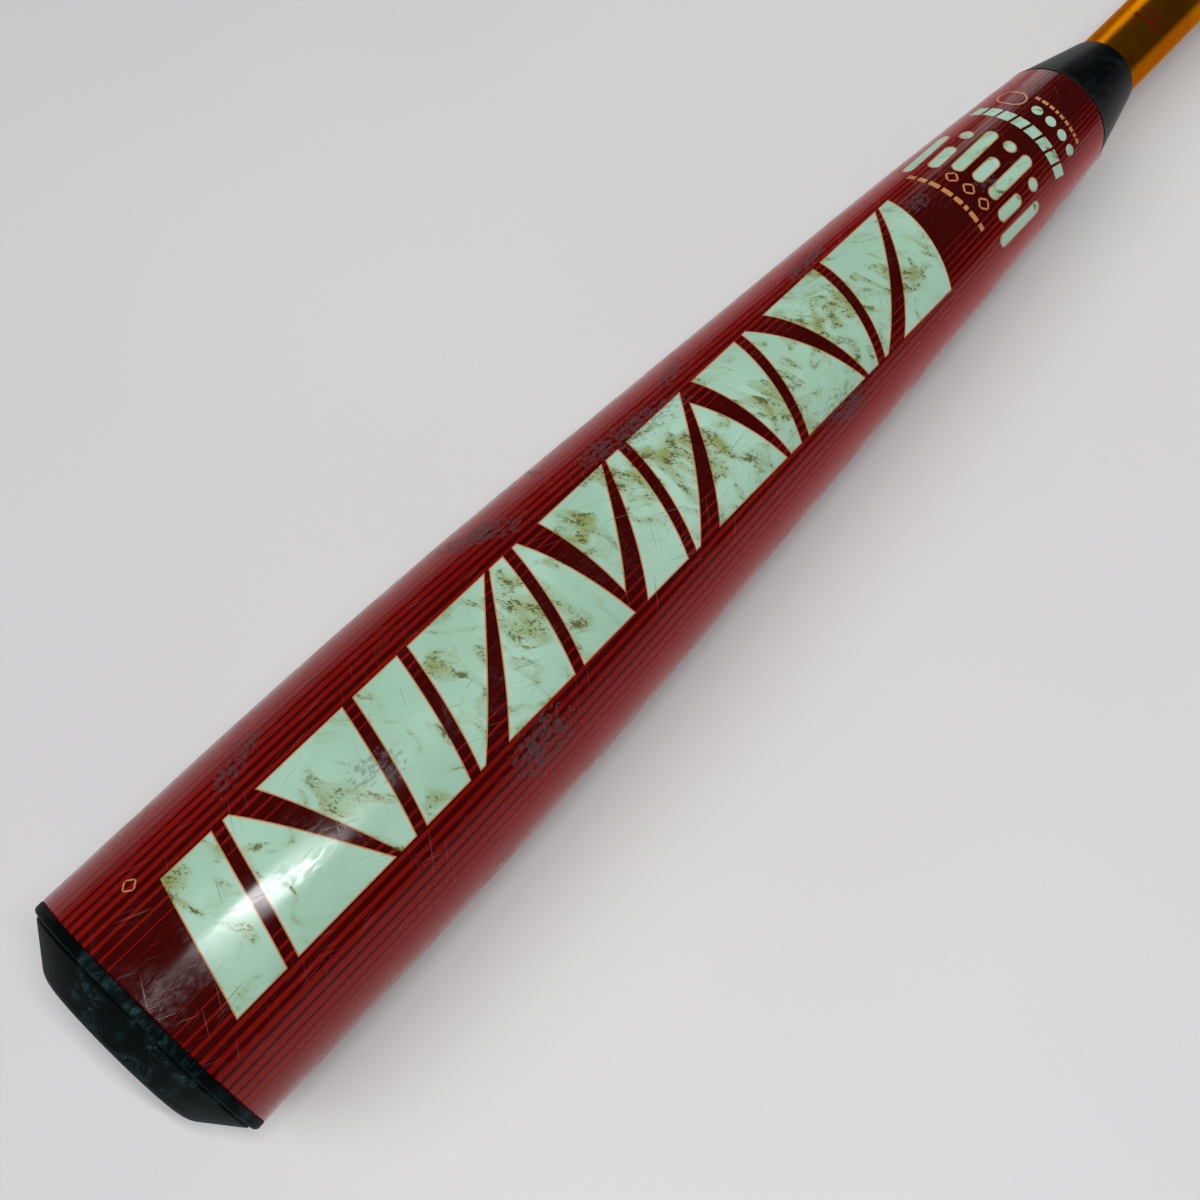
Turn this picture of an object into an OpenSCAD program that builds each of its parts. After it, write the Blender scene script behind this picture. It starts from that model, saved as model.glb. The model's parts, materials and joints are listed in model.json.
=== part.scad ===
// Two-piece baseball bat: composite barrel, alloy handle, rubber collar between them.
// The bat lies on its side on the plane Z = 0, touching it with the barrel and with the rim
// of the knob. The end cap points to -X and the knob to +X.
// Every piece is turned about the bat's own axis. In the profiles below z runs along that
// axis from the barrel's open end (z = 0) towards the knob, and the end cap has z < 0.
// A profile is a list of [radius, z] points.

/* [Bat] */
// Overall length, from the end cap's flat face to the knob's end
total_length = 840; // [780:5:860]

/* [Barrel] */
// Diameter of the barrel's straight stretch
barrel_d = 69; // [60:0.5:70]
// Length of the barrel shell, from its open end to the collar
barrel_length = 364; // [330:2:400]
// Straight stretch next to the open end
barrel_straight = 40; // [25:1:60]
// Length over which the straight stretch turns into the taper
barrel_blend = 110; // [80:5:130]
// Length of the last stretch, which steepens towards the collar
barrel_shoulder = 102; // [70:2:120]
// Diameter of the barrel shell where it meets the collar
throat_d = 37; // [35:0.5:40]
// How much steeper the taper is at the collar than in its middle
shoulder_ratio = 1.6; // [1.2:0.1:2]
// Laminate thickness at the open end
barrel_wall = 2.5; // [2:0.1:3]
// Laminate thickness at the collar
throat_wall = 3.4; // [3:0.1:3.6]
// Thickness of the second wall, the loose sleeve inside the hitting zone
inner_wall_t = 1.3; // [1:0.1:2]
// Length of that sleeve
inner_wall_length = 190; // [120:10:210]

/* [End cap] */
// How far the cap stands out past the barrel shell
cap_height = 10.8; // [9:0.2:13]
// Diameter of the cap's flat face
cap_face_d = 44; // [36:1:50]
// Height of the rounded lip against the shell
cap_lip = 2.6; // [2.4:0.1:3.2]
// Length of the skirt glued into the shell
cap_skirt = 14; // [12:1:16]

/* [Collar] */
// Length of the rubber collar outside the barrel
collar_length = 28; // [26:1:34]
// Diameter of the collar's thin end
collar_tip_d = 24.2; // [23.8:0.1:25]

/* [Handle] */
// Outer diameter of the bare handle tube
handle_d = 21.8; // [21:0.2:22.4]
// Wall of the handle tube
handle_wall = 1.9; // [1.6:0.1:2.4]
// Length of the bonded joint inside the barrel's throat
joint_length = 60; // [45:5:75]

/* [Grip] */
// Length of the wrapped grip
grip_length = 285; // [240:5:300]
// Thickness of the grip tape as it lies on the handle
grip_t = 1.7; // [1.2:0.1:2.2]

/* [Knob] */
// Diameter of the knob's rim
knob_d = 50; // [46:1:54]
// Radius of the rounded rim
knob_rim_r = 5.5; // [5:0.5:6.5]
// Length of the knob, with its neck
knob_length = 26; // [24:1:30]

/* [Hidden] */
$fn = 120;

STEP = 7;              // spacing of the profile points along a curve
EDGE = 0.35;           // broken edge of a moulded or cut rim
GLUE = 0.35;           // thickness of a glue layer

barrel_r = barrel_d / 2;
throat_r = throat_d / 2;
handle_r = handle_d / 2;
cap_face_r = cap_face_d / 2;
collar_tip_r = collar_tip_d / 2;
knob_end = total_length - cap_height;
collar_end = barrel_length + collar_length;

// The taper's slope is nothing along the straight stretch, grows evenly over the blend,
// stays the same over the middle and grows again over the shoulder.
blend_end = barrel_straight + barrel_blend;
shoulder_start = barrel_length - barrel_shoulder;
taper = (barrel_r - throat_r)
      / (barrel_blend / 2 + shoulder_start - blend_end + barrel_shoulder * (1 + shoulder_ratio) / 2);

function in_blend(z) = min(max(z - barrel_straight, 0), barrel_blend);
function in_middle(z) = max(z - blend_end, 0);
function in_shoulder(z) = max(z - shoulder_start, 0);

// Outer radius of the barrel shell.
function shell_out(z) = barrel_r - taper * (pow(in_blend(z), 2) / (2 * barrel_blend) + in_middle(z)
    + (shoulder_ratio - 1) * pow(in_shoulder(z), 2) / (2 * barrel_shoulder));

// Inner radius of the barrel shell: the wall thickens evenly towards the throat.
function shell_in(z) = shell_out(z) - barrel_wall - (throat_wall - barrel_wall) * z / barrel_length;

// Second wall.
sleeve_start = 24;
sleeve_end = sleeve_start + inner_wall_length;

// End cap.
lip_round = 1.1;
groove = 0.6;
corner_round = 4;
skirt_r = barrel_r - barrel_wall - GLUE - 0.05;
pot_depth = 6;
pot_level = 1;
function pot_r(z) = 24 + 0.075 * (z + pot_depth);

// Joint: sleeve, glue and the handle's flared end lie inside each other in the throat.
sleeve_t = 1.6;
joint_start = barrel_length - joint_length;
handle_start = joint_start - 4;
plug_length = 14;
flare_run = collar_length - 4;
function glue_out(z) = shell_in(z) - sleeve_t;
function flare(z) = glue_out(z) - GLUE;
function neck(z) = handle_r
    + (flare(barrel_length) - handle_r) * (1 + cos(180 * min((z - barrel_length) / flare_run, 1))) / 2;
function handle_out(z) = z < barrel_length ? flare(z) : neck(z);
function handle_in(z) = handle_out(z) - handle_wall;

// Knob. Its points are written as [radius, distance from the knob's end].
neck_r = 12.4;
bead_end = knob_length + 3;
badge_r = 16.8;
badge_t = 0.9;
badge_proud = 0.2;
socket_floor = 5;
slug_length = 22;
rim_turn = 50;
rim_center = [knob_d / 2 - knob_rim_r, knob_rim_r + badge_proud];
function rim_at(a) = rim_center + knob_rim_r * [cos(a), sin(a)];
rim_last = rim_at(rim_turn);
flank = [neck_r, rim_last[1] + (rim_last[0] - neck_r) / tan(rim_turn)];
function bend(a, b, c, t) = pow(1 - t, 2) * a + 2 * t * (1 - t) * b + pow(t, 2) * c;
function from_knob(points) = [for (p = points) [p[0], knob_end - p[1]]];

// Grip. It starts on the knob's neck and ends grip_length further up the handle.
grip_start = knob_length - 5;
grip_top = knob_end - grip_start - grip_length;
underlay_t = 0.35;
pared_t = 0.5;
pared_length = 3;
band_width = 19;
band_t = 0.3;
band_on_grip = 10;

// The bat leans towards the knob until the barrel and the knob's rim both touch Z = 0. The
// barrel touches where its taper is as steep as the lean.
rim_z = knob_end - rim_center[1];
first_lean = (barrel_r - knob_d / 2) / (rim_z - barrel_straight);
touch_z = barrel_straight + barrel_blend * first_lean / taper;
lean = atan((shell_out(touch_z) - knob_d / 2) / (rim_z - touch_z));
axis_height = shell_out(touch_z) * cos(lean) + touch_z * sin(lean);
half_way = total_length / 2 - cap_height;

// Values between a and b, both included, about STEP apart.
function along(a, b) = let (n = max(1, round((b - a) / STEP))) [for (i = [0 : n]) a + (b - a) * i / n];
// The same through several stops, each stop once.
function through(stops) = concat([stops[0]],
    [for (k = [1 : len(stops) - 1]) for (z = along(stops[k - 1], stops[k])) if (z > stops[k - 1]) z]);
function backwards(list) = [for (i = [len(list) - 1 : -1 : 0]) list[i]];

// Lays a piece that was turned about Z onto the floor.
module lay() {
    translate([-half_way * cos(lean), 0, axis_height])
        rotate([0, 90 + lean, 0])
            children();
}

// A turned piece from its outer and its inner profile, both listed with growing z.
module turned(outer, inner) {
    lay() rotate_extrude(convexity = 8) polygon(concat(outer, backwards(inner)));
}

// A turned piece that is solid to its axis.
module turned_solid(outer) {
    turned(outer, [[0, outer[0][1]], [0, outer[len(outer) - 1][1]]]);
}

module barrel_shell() {
    outer_z = through([barrel_straight, blend_end, shoulder_start, barrel_length - EDGE]);
    inner_z = through([0, sleeve_start, sleeve_end, joint_start, barrel_length]);
    color([0.36, 0.03, 0.03])
        turned(concat([[barrel_r - EDGE, 0], [barrel_r, EDGE]],
                      [for (z = outer_z) [shell_out(z), z]],
                      [[throat_r - EDGE, barrel_length]]),
               [for (z = inner_z) [shell_in(z), z]]);
}

// Loose second wall that the shell bottoms out on when it gives.
module inner_wall() {
    zs = through([sleeve_start, sleeve_end]);
    color([0.16, 0.16, 0.17])
        turned([for (z = zs) [shell_in(z), z]], [for (z = zs) [shell_in(z) - inner_wall_t, z]]);
}

// Moulded cap: flat face, bevel, groove and rounded lip outside, a hollow skirt inside.
module end_cap() {
    corner = [cap_face_r, -cap_height];
    bevel_end = [barrel_r - lip_round - groove, -cap_lip - groove];
    bevel = atan2(bevel_end[1] - corner[1], bevel_end[0] - corner[0]);
    flat_r = corner[0] - corner_round * tan(bevel / 2);
    outer = concat([[0, -cap_height]],
        [for (a = [0 : bevel / 4 : bevel])
            [flat_r + corner_round * sin(a), corner_round * (1 - cos(a)) - cap_height]],
        [bevel_end, [bevel_end[0] - groove / 2, -cap_lip]],
        [for (a = [0 : 15 : 90])
            [barrel_r - lip_round * (1 - sin(a)), -cap_lip + lip_round * (1 - cos(a))]],
        [[barrel_r, -EDGE], [barrel_r - EDGE, 0], [skirt_r, 0], [skirt_r, cap_skirt - 1],
         [skirt_r - 1, cap_skirt]]);
    color([0.04, 0.06, 0.06]) turned(outer, [[0, -pot_depth], [pot_r(-pot_depth), -pot_depth],
                                             [pot_r(cap_skirt), cap_skirt]]);
}

// Filled resin poured into the cap to bring the bat to its weight.
module end_cap_weight() {
    color([0.45, 0.43, 0.40])
        turned_solid([[pot_r(-pot_depth), -pot_depth], [pot_r(-pot_level), -pot_level]]);
}

module end_cap_adhesive() {
    glue_end = cap_skirt - 1;
    color([0.85, 0.82, 0.70])
        turned([[shell_in(0), 0], [shell_in(glue_end), glue_end]], [[skirt_r, 0], [skirt_r, glue_end]]);
}

// Rubber cone that closes the step from the barrel's throat to the handle.
module transition_collar() {
    zs = along(barrel_length, collar_end);
    color([0.05, 0.07, 0.09])
        turned([[throat_r - EDGE, barrel_length], [throat_r, barrel_length + EDGE],
                [collar_tip_r + EDGE / 2, collar_end - EDGE], [collar_tip_r - EDGE, collar_end]],
               [for (z = zs) [handle_out(z), z]]);
}

// Urethane sleeve between the throat and the handle's flare.
module joint_sleeve() {
    zs = along(joint_start, barrel_length);
    color([0.75, 0.60, 0.25])
        turned([for (z = zs) [shell_in(z), z]], [for (z = zs) [glue_out(z), z]]);
}

module joint_adhesive() {
    zs = along(joint_start, barrel_length);
    color([0.85, 0.82, 0.70])
        turned([for (z = zs) [glue_out(z), z]], [for (z = zs) [flare(z), z]]);
}

// Drawn tube, flared at its inner end so that it can't pull out of the throat.
module handle_tube() {
    zs = concat(through([handle_start, joint_start, barrel_length, collar_end]), [knob_end - socket_floor]);
    color([0.72, 0.38, 0.05])
        turned([for (z = zs) [handle_out(z), z]], [for (z = zs) [handle_in(z), z]]);
}

// Stopper that keeps loose resin from rattling down the handle.
module handle_plug() {
    color([0.55, 0.55, 0.52])
        turned_solid([for (z = along(joint_start, barrel_length)) if (z < joint_start + plug_length)
            [handle_in(z), z]]);
}

module knob() {
    outer = concat([[neck_r, knob_length], [neck_r, grip_start]],
        [for (t = [0.1 : 0.1 : 0.9]) bend([neck_r, grip_start], flank, rim_last, t)],
        [for (a = [rim_turn : -10 : -90]) rim_at(a)],
        [[badge_r, badge_proud], [badge_r, badge_t]]);
    socket = [[handle_r, knob_length], [handle_r, socket_floor], [0, socket_floor], [0, badge_t]];
    color([0.05, 0.05, 0.05]) turned(from_knob(outer), from_knob(socket));
}

module knob_weld() {
    color([0.62, 0.62, 0.62])
        turned(from_knob([[handle_r, bead_end], [neck_r, knob_length]]),
               from_knob([[handle_r, knob_length]]));
}

// Slug pressed into the handle's end for balance.
module knob_weight() {
    color([0.40, 0.40, 0.42])
        turned_solid(from_knob([[handle_r - handle_wall, socket_floor + slug_length],
                                [handle_r - handle_wall, socket_floor]]));
}

// Plain domed disc set into the knob's end.
module knob_badge() {
    color([0.55, 0.30, 0.05])
        turned_solid(from_knob([[badge_r, badge_t], [badge_r, badge_proud], [badge_r - badge_proud, 0]]));
}

// The line that the grip is wound on, from its top down to the knob's neck, raised by t.
function grip_line(t) = concat([[handle_r + t, grip_top]],
    from_knob([[handle_r + t, bead_end], [neck_r + t, knob_length], [neck_r + t, grip_start]]));

// Double-sided tape under the grip.
module grip_underlay() {
    color([0.80, 0.78, 0.72]) turned(grip_line(underlay_t), grip_line(0));
}

// Wound grip, as one sleeve. Its top end is pared thin so that the band can hold it down.
module grip_tape() {
    line = grip_line(underlay_t + grip_t);
    color([0.03, 0.03, 0.03])
        turned(concat([[handle_r + underlay_t + pared_t, grip_top], [line[0][0], grip_top + pared_length]],
                      [for (k = [1 : len(line) - 1]) line[k]]),
               grip_line(underlay_t));
}

// Finishing tape over the grip's top end.
module grip_band() {
    grip_r = handle_r + underlay_t + grip_t;
    pared_r = handle_r + underlay_t + pared_t;
    band_start = grip_top + band_on_grip - band_width;
    band_end = grip_top + band_on_grip;
    color([0.02, 0.02, 0.02])
        turned([[handle_r + band_t, band_start], [handle_r + band_t, grip_top - 2 * band_t],
                [pared_r + band_t, grip_top], [grip_r + band_t, grip_top + pared_length],
                [grip_r + band_t, band_end]],
               [[handle_r, band_start], [handle_r, grip_top], [pared_r, grip_top],
                [grip_r, grip_top + pared_length], [grip_r, band_end]]);
}

barrel_shell();
inner_wall();
end_cap();
end_cap_weight();
end_cap_adhesive();
transition_collar();
joint_sleeve();
joint_adhesive();
handle_tube();
handle_plug();
knob();
knob_weld();
knob_weight();
knob_badge();
grip_underlay();
grip_tape();
grip_band();
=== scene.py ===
"""Looks of a two-piece baseball bat: painted composite barrel, rubber collar, alloy handle."""

import json
import logging
import math
import random
from dataclasses import dataclass, field
from enum import Enum
from typing import Callable, Iterable, Sequence

import bmesh
import bpy
from mathutils import Matrix, Vector


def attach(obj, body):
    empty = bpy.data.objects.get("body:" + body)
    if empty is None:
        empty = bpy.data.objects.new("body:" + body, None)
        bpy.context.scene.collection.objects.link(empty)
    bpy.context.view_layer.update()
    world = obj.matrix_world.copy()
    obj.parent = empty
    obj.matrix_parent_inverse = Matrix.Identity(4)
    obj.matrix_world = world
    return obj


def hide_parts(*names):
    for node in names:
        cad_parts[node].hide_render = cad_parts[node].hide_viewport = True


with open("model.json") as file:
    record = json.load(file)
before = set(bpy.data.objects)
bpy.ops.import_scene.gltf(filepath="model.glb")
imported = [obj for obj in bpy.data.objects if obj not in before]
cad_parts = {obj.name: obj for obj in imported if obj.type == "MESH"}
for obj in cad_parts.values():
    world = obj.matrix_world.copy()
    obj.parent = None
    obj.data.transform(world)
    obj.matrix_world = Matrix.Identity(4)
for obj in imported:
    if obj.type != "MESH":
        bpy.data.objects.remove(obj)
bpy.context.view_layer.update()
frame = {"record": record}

LOG = logging.getLogger("bat")
BODY = "root"
MM = 0.001
FULL_TURN = 2 * math.pi

Point = tuple[float, float]
Profile = Sequence[Point]


# ---------------------------------------------------------------- the bat's own space


@dataclass(frozen=True)
class BatSpace:
    """The bat's own axes: Z from the barrel's open end to the knob, X up and Y to the front.

    Lengths in this space are millimetres, and a turn is the angle from X towards Y.
    """

    mouth: Vector
    along: Vector

    @classmethod
    def from_record(cls, record: dict) -> "BatSpace":
        """Reads the axis from the mount that holds the barrel.

        Args:
            record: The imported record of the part.

        Returns:
            The space whose origin is the centre of the barrel's open end.
        """
        barrel = next(mount for mount in record["mounts"] if mount["name"] == "barrel")
        outwards = Vector(barrel["axis"])
        middle_to_mouth = outwards * barrel["dims"]["length_mm"] / 2 * MM
        return cls(Vector(barrel["pos_m"]) + middle_to_mouth, -outwards)

    def rotation(self) -> Matrix:
        """Rotation from the bat's axes to the frame's."""
        front = Vector((0, -1, 0))
        return Matrix((front.cross(self.along), front, self.along)).transposed()

    def placement(self) -> Matrix:
        """Transform from the bat's millimetres to the frame's metres."""
        return Matrix.Translation(self.mouth) @ self.rotation().to_4x4() @ Matrix.Scale(MM, 4)

    def point(self, z: float, radius: float, turn: float) -> Vector:
        """Place in the frame of a point at z, radius and turn, in millimetres and degrees."""
        a = math.radians(turn)
        return self.placement() @ Vector((radius * math.cos(a), radius * math.sin(a), z))


SPACE = BatSpace.from_record(frame["record"])


class Side(Enum):
    """The two faces of the bat that carry the print, by the turn of their middle."""

    FRONT = 15.0
    BACK = 195.0


# ---------------------------------------------------------------- shapes of the turned pieces


@dataclass(frozen=True)
class BarrelForm:
    """Outer form of the barrel shell, in millimetres from its open end."""

    radius: float = 34.5
    length: float = 364.0
    straight: float = 40.0
    blend: float = 110.0
    shoulder: float = 102.0
    throat: float = 18.5
    shoulder_ratio: float = 1.6
    wall: float = 2.5
    throat_wall: float = 3.4
    edge: float = 0.35

    @property
    def taper(self) -> float:
        """Slope of the middle stretch.

        Returns:
            The fall of the radius for each millimetre along the bat.
        """
        middle = self.length - self.shoulder - self.straight - self.blend
        run = self.blend / 2 + middle + self.shoulder * (1 + self.shoulder_ratio) / 2
        return (self.radius - self.throat) / run

    def outer(self, z: float) -> float:
        """Outer radius: straight, then a curve into the taper, then a steeper shoulder.

        Args:
            z: The distance from the open end.

        Returns:
            The radius.
        """
        blend = min(max(z - self.straight, 0), self.blend)
        middle = max(z - self.straight - self.blend, 0)
        shoulder = max(z - self.length + self.shoulder, 0)
        drop = blend**2 / (2 * self.blend) + middle
        drop += (self.shoulder_ratio - 1) * shoulder**2 / (2 * self.shoulder)
        return self.radius - self.taper * drop

    def slope(self, z: float) -> float:
        """Change of the outer radius along z."""
        return self.outer(z + 0.5) - self.outer(z - 0.5)

    def inner(self, z: float) -> float:
        """Inner radius at z."""
        return self.outer(z) - self.wall - (self.throat_wall - self.wall) * z / self.length


@dataclass(frozen=True)
class HandleForm:
    """Outer form of the handle tube and of what the grip is wound on."""

    barrel: BarrelForm = BarrelForm()
    radius: float = 10.9
    wall: float = 1.9
    sleeve: float = 1.6
    glue: float = 0.35
    flare_run: float = 24.0
    knob_end: float = 829.2
    bead_end: float = 29.0
    knob_length: float = 26.0
    neck: float = 12.4

    def outer(self, z: float) -> float:
        """Outer radius of the tube, which flares towards the barrel to fill its throat.

        Args:
            z: The distance from the barrel's open end.

        Returns:
            The radius.
        """
        if z <= self.barrel.length:
            return self.barrel.inner(z) - self.sleeve - self.glue
        flare = self.outer(self.barrel.length)
        part = min((z - self.barrel.length) / self.flare_run, 1)
        return self.radius + (flare - self.radius) * (1 + math.cos(math.pi * part)) / 2

    def seat(self, z: float) -> float:
        """Radius that the grip is wound on: the tube, the weld bead and the knob's neck.

        Args:
            z: The distance from the barrel's open end.

        Returns:
            The radius.
        """
        bead = self.bead_end - self.knob_length
        part = min(max((z - self.knob_end + self.bead_end) / bead, 0), 1)
        return self.radius + (self.neck - self.radius) * part


def spaced(start: float, end: float, step: float) -> list[float]:
    """Values from start to end, both included, about step apart."""
    count = max(1, round(abs(end - start) / step))
    return [start + (end - start) * i / count for i in range(count + 1)]


class Lathe:
    """Turns profiles into meshes about the bat's axis, in millimetres."""

    def __init__(self, steps: int = 180) -> None:
        """Sets the number of faces round the piece."""
        self.steps = steps

    def turn(self, profile: Profile, closed: bool = True,
             rounds: dict[int, float] | None = None) -> bmesh.types.BMesh:
        """Spins a profile of (radius, z) points round the axis.

        Args:
            profile: The points of the profile.
            closed: Whether the last point joins the first.
            rounds: For a corner's index in the profile, how far from it its rounding starts.

        Returns:
            The turned mesh with its normals outwards.
        """
        bm = bmesh.new()
        points = [bm.verts.new((radius, 0, z)) for radius, z in profile]
        pairs = list(zip(points, points[1:]))
        for a, b in pairs + ([(points[-1], points[0])] if closed else []):
            bm.edges.new((a, b))
        for index, size in (rounds or {}).items():
            bmesh.ops.bevel(bm, geom=[points[index]], offset=size, segments=5, profile=0.5,
                            affect="VERTICES", material=-1)
        bmesh.ops.spin(bm, geom=bm.verts[:] + bm.edges[:], cent=(0, 0, 0), axis=(0, 0, 1),
                       dvec=(0, 0, 0), angle=FULL_TURN, steps=self.steps, use_merge=True,
                       use_duplicate=False)
        bmesh.ops.remove_doubles(bm, verts=bm.verts, dist=1e-4)
        bmesh.ops.recalc_face_normals(bm, faces=bm.faces)
        return bm


def smooth_but_corners(bm: bmesh.types.BMesh, limit: float = 32.0) -> None:
    """Shades a mesh smooth and leaves its corners sharp.

    Args:
        bm: The mesh.
        limit: The angle in degrees above which an edge is a corner.
    """
    for face in bm.faces:
        face.smooth = True
    for edge in bm.edges:
        edge.smooth = edge.calc_face_angle(0) < math.radians(limit)


def publish(name: str, bm: bmesh.types.BMesh, finishes: Sequence[bpy.types.Material],
            stands_for: Iterable[str] = (),
            normal: Callable[[Vector], Vector] | None = None) -> bpy.types.Object:
    """Puts a mesh made in the bat's space into the scene.

    Args:
        name: The piece's name.
        bm: The mesh, in millimetres. It is freed.
        finishes: Its materials, in the order of the faces' material_index.
        stands_for: The CAD nodes that the piece replaces.
        normal: Gives the true normal at a point, for a piece that lies on a known form.

    Returns:
        The new object.
    """
    normals = [SPACE.rotation() @ normal(vert.co) for vert in bm.verts] if normal else []
    bmesh.ops.transform(bm, matrix=SPACE.placement(), verts=bm.verts)
    mesh = bpy.data.meshes.new(name)
    bm.to_mesh(mesh)
    bm.free()
    if normals:
        mesh.normals_split_custom_set_from_vertices(normals)
    for finish in finishes:
        mesh.materials.append(finish)
    piece = bpy.data.objects.new(name, mesh)
    bpy.context.scene.collection.objects.link(piece)
    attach(piece, BODY)
    if stands_for:
        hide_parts(*stands_for)
    return piece


# ---------------------------------------------------------------- materials


def linear(colour: str) -> tuple[float, float, float, float]:
    """Linear RGBA of an sRGB hex colour such as "#a0b0c0"."""
    parts = [int(colour[i:i + 2], 16) / 255 for i in (1, 3, 5)]
    return (*[p / 12.92 if p <= 0.04045 else ((p + 0.055) / 1.055) ** 2.4 for p in parts], 1.0)


Value = float | str | tuple | bpy.types.Node | bpy.types.NodeSocket


class Kind(Enum):
    """The nodes that the finishes are made of: Blender's type and the settings that go with it."""

    ADD = ("Math", {"operation": "ADD"})
    SUBTRACT = ("Math", {"operation": "SUBTRACT"})
    MULTIPLY = ("Math", {"operation": "MULTIPLY"})
    MULTIPLY_ADD = ("Math", {"operation": "MULTIPLY_ADD"})
    MAXIMUM = ("Math", {"operation": "MAXIMUM"})
    POWER = ("Math", {"operation": "POWER"})
    SQRT = ("Math", {"operation": "SQRT"})
    ARCTAN2 = ("Math", {"operation": "ARCTAN2"})
    PINGPONG = ("Math", {"operation": "PINGPONG"})
    STRETCH = ("VectorMath", {"operation": "MULTIPLY"})
    LENGTH = ("VectorMath", {"operation": "LENGTH"})
    RANGE = ("MapRange", {"interpolation_type": "LINEAR"})
    STEP = ("MapRange", {"interpolation_type": "SMOOTHSTEP"})
    BLEND = ("Mix", {"data_type": "RGBA"})
    NOISE = ("TexNoise", {})
    CELLS = ("TexVoronoi", {"feature": "DISTANCE_TO_EDGE"})
    BUMP = ("Bump", {})
    COORDINATES = ("TexCoord", {})
    MAPPING = ("Mapping", {})
    SEPARATE = ("SeparateXYZ", {})
    COMBINE = ("CombineXYZ", {})
    LIGHT_PATH = ("LightPath", {})


class Nodes:
    """A node tree that is filled by one call for each node."""

    def __init__(self, tree: bpy.types.NodeTree) -> None:
        """Takes the tree."""
        self.tree = tree

    def add(self, kind: Kind, *values: Value, **named: Value) -> bpy.types.Node:
        """Adds a node with its settings and links.

        Args:
            kind: Its type and settings.
            values: What its inputs take, in their order.
            named: What its inputs take, by name.

        Returns:
            The new node.
        """
        type_name, settings = kind.value
        made = self.tree.nodes.new("ShaderNode" + type_name)
        for name, value in settings.items():
            setattr(made, name, value)
        return self.feed(made, *values, **named)

    def feed(self, node: bpy.types.Node, *values: Value, **named: Value) -> bpy.types.Node:
        """Sets or links the inputs of a node.

        Args:
            node: The node.
            values: A number, hex colour, socket or node for each input in use, in their order.
            named: The same by the input's name, with underscores for spaces.

        Returns:
            The same node.
        """
        in_use = [socket for socket in node.inputs if socket.enabled]
        pairs = list(zip(in_use, values))
        pairs += [(node.inputs[name.replace("_", " ")], value) for name, value in named.items()]
        for socket, value in pairs:
            if isinstance(value, bpy.types.Node):
                value = next(output for output in value.outputs if output.enabled)
            if isinstance(value, bpy.types.NodeSocket):
                self.tree.links.new(value, socket)
            else:
                socket.default_value = linear(value) if isinstance(value, str) else value
        return node


class Graph(Nodes):
    """The nodes of one material, with the bat's coordinates in millimetres."""

    def __init__(self, name: str) -> None:
        """Makes the material and the coordinates that its patterns read.

        Args:
            name: The material's name.
        """
        self.material = bpy.data.materials.new(name)
        self.material.use_nodes = True
        super().__init__(self.material.node_tree)
        self.shader = self.tree.nodes["Principled BSDF"]
        turned_back = SPACE.rotation().transposed()
        here = self.add(Kind.COORDINATES)
        self.place = self.add(Kind.MAPPING, here.outputs["Object"], Scale=(1 / MM,) * 3,
                              Rotation=tuple(turned_back.to_euler()),
                              Location=tuple(turned_back @ -SPACE.mouth / MM))
        self.axes = self.add(Kind.SEPARATE, self.place)
        self.turn = self.add(Kind.ARCTAN2, self.axes.outputs["Y"], self.axes.outputs["X"])
        self.z = self.axes.outputs["Z"]

    def grain(self, size: float, detail: float = 3.0, distortion: float = 0.0,
              stretch: tuple[float, float, float] = (1, 1, 1), shift: float = 0.0,
              on: Value | None = None) -> bpy.types.Node:
        """A cloudy pattern with features of a real size.

        Args:
            size: Its feature size in millimetres.
            detail: The number of finer layers.
            distortion: How far it is twisted.
            stretch: How much denser the pattern is along each axis.
            shift: Moves it, so that two patterns of one size differ.
            on: The coordinates, the bat's own where none are given.

        Returns:
            The node that holds the pattern.
        """
        moved = self.add(Kind.MAPPING, on or self.place, Scale=stretch,
                         Location=(shift * 17, shift * 31, shift * 13))
        return self.add(Kind.NOISE, moved, Scale=1 / size, Detail=detail, Distortion=distortion)

    def skin(self, arc: float) -> bpy.types.Node:
        """Coordinates laid flat: z, and the way round at arc millimetres a radian."""
        return self.add(Kind.COMBINE, self.z, self.add(Kind.MULTIPLY, self.turn, arc))

    def strongest(self, parts: Sequence[Value]) -> Value:
        """The largest of several values at each point.

        Args:
            parts: The values.

        Returns:
            The value that is the largest of them.
        """
        total = parts[0]
        for part in parts[1:]:
            total = self.add(Kind.MAXIMUM, total, part)
        return total

    def finish(self, height: Value, strength: float, relief: float,
               **named: Value) -> bpy.types.Material:
        """Feeds the shader and gives it its relief.

        Args:
            height: The pattern that stands up or, with a negative relief, is sunk.
            strength: How much of the relief shows.
            relief: Its height in millimetres.
            named: What the shader's inputs take, by name.

        Returns:
            The finished material.
        """
        self.feed(self.shader, Normal=self.add(Kind.BUMP, strength, relief * MM, Height=height),
                  **named)
        return self.material


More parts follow.
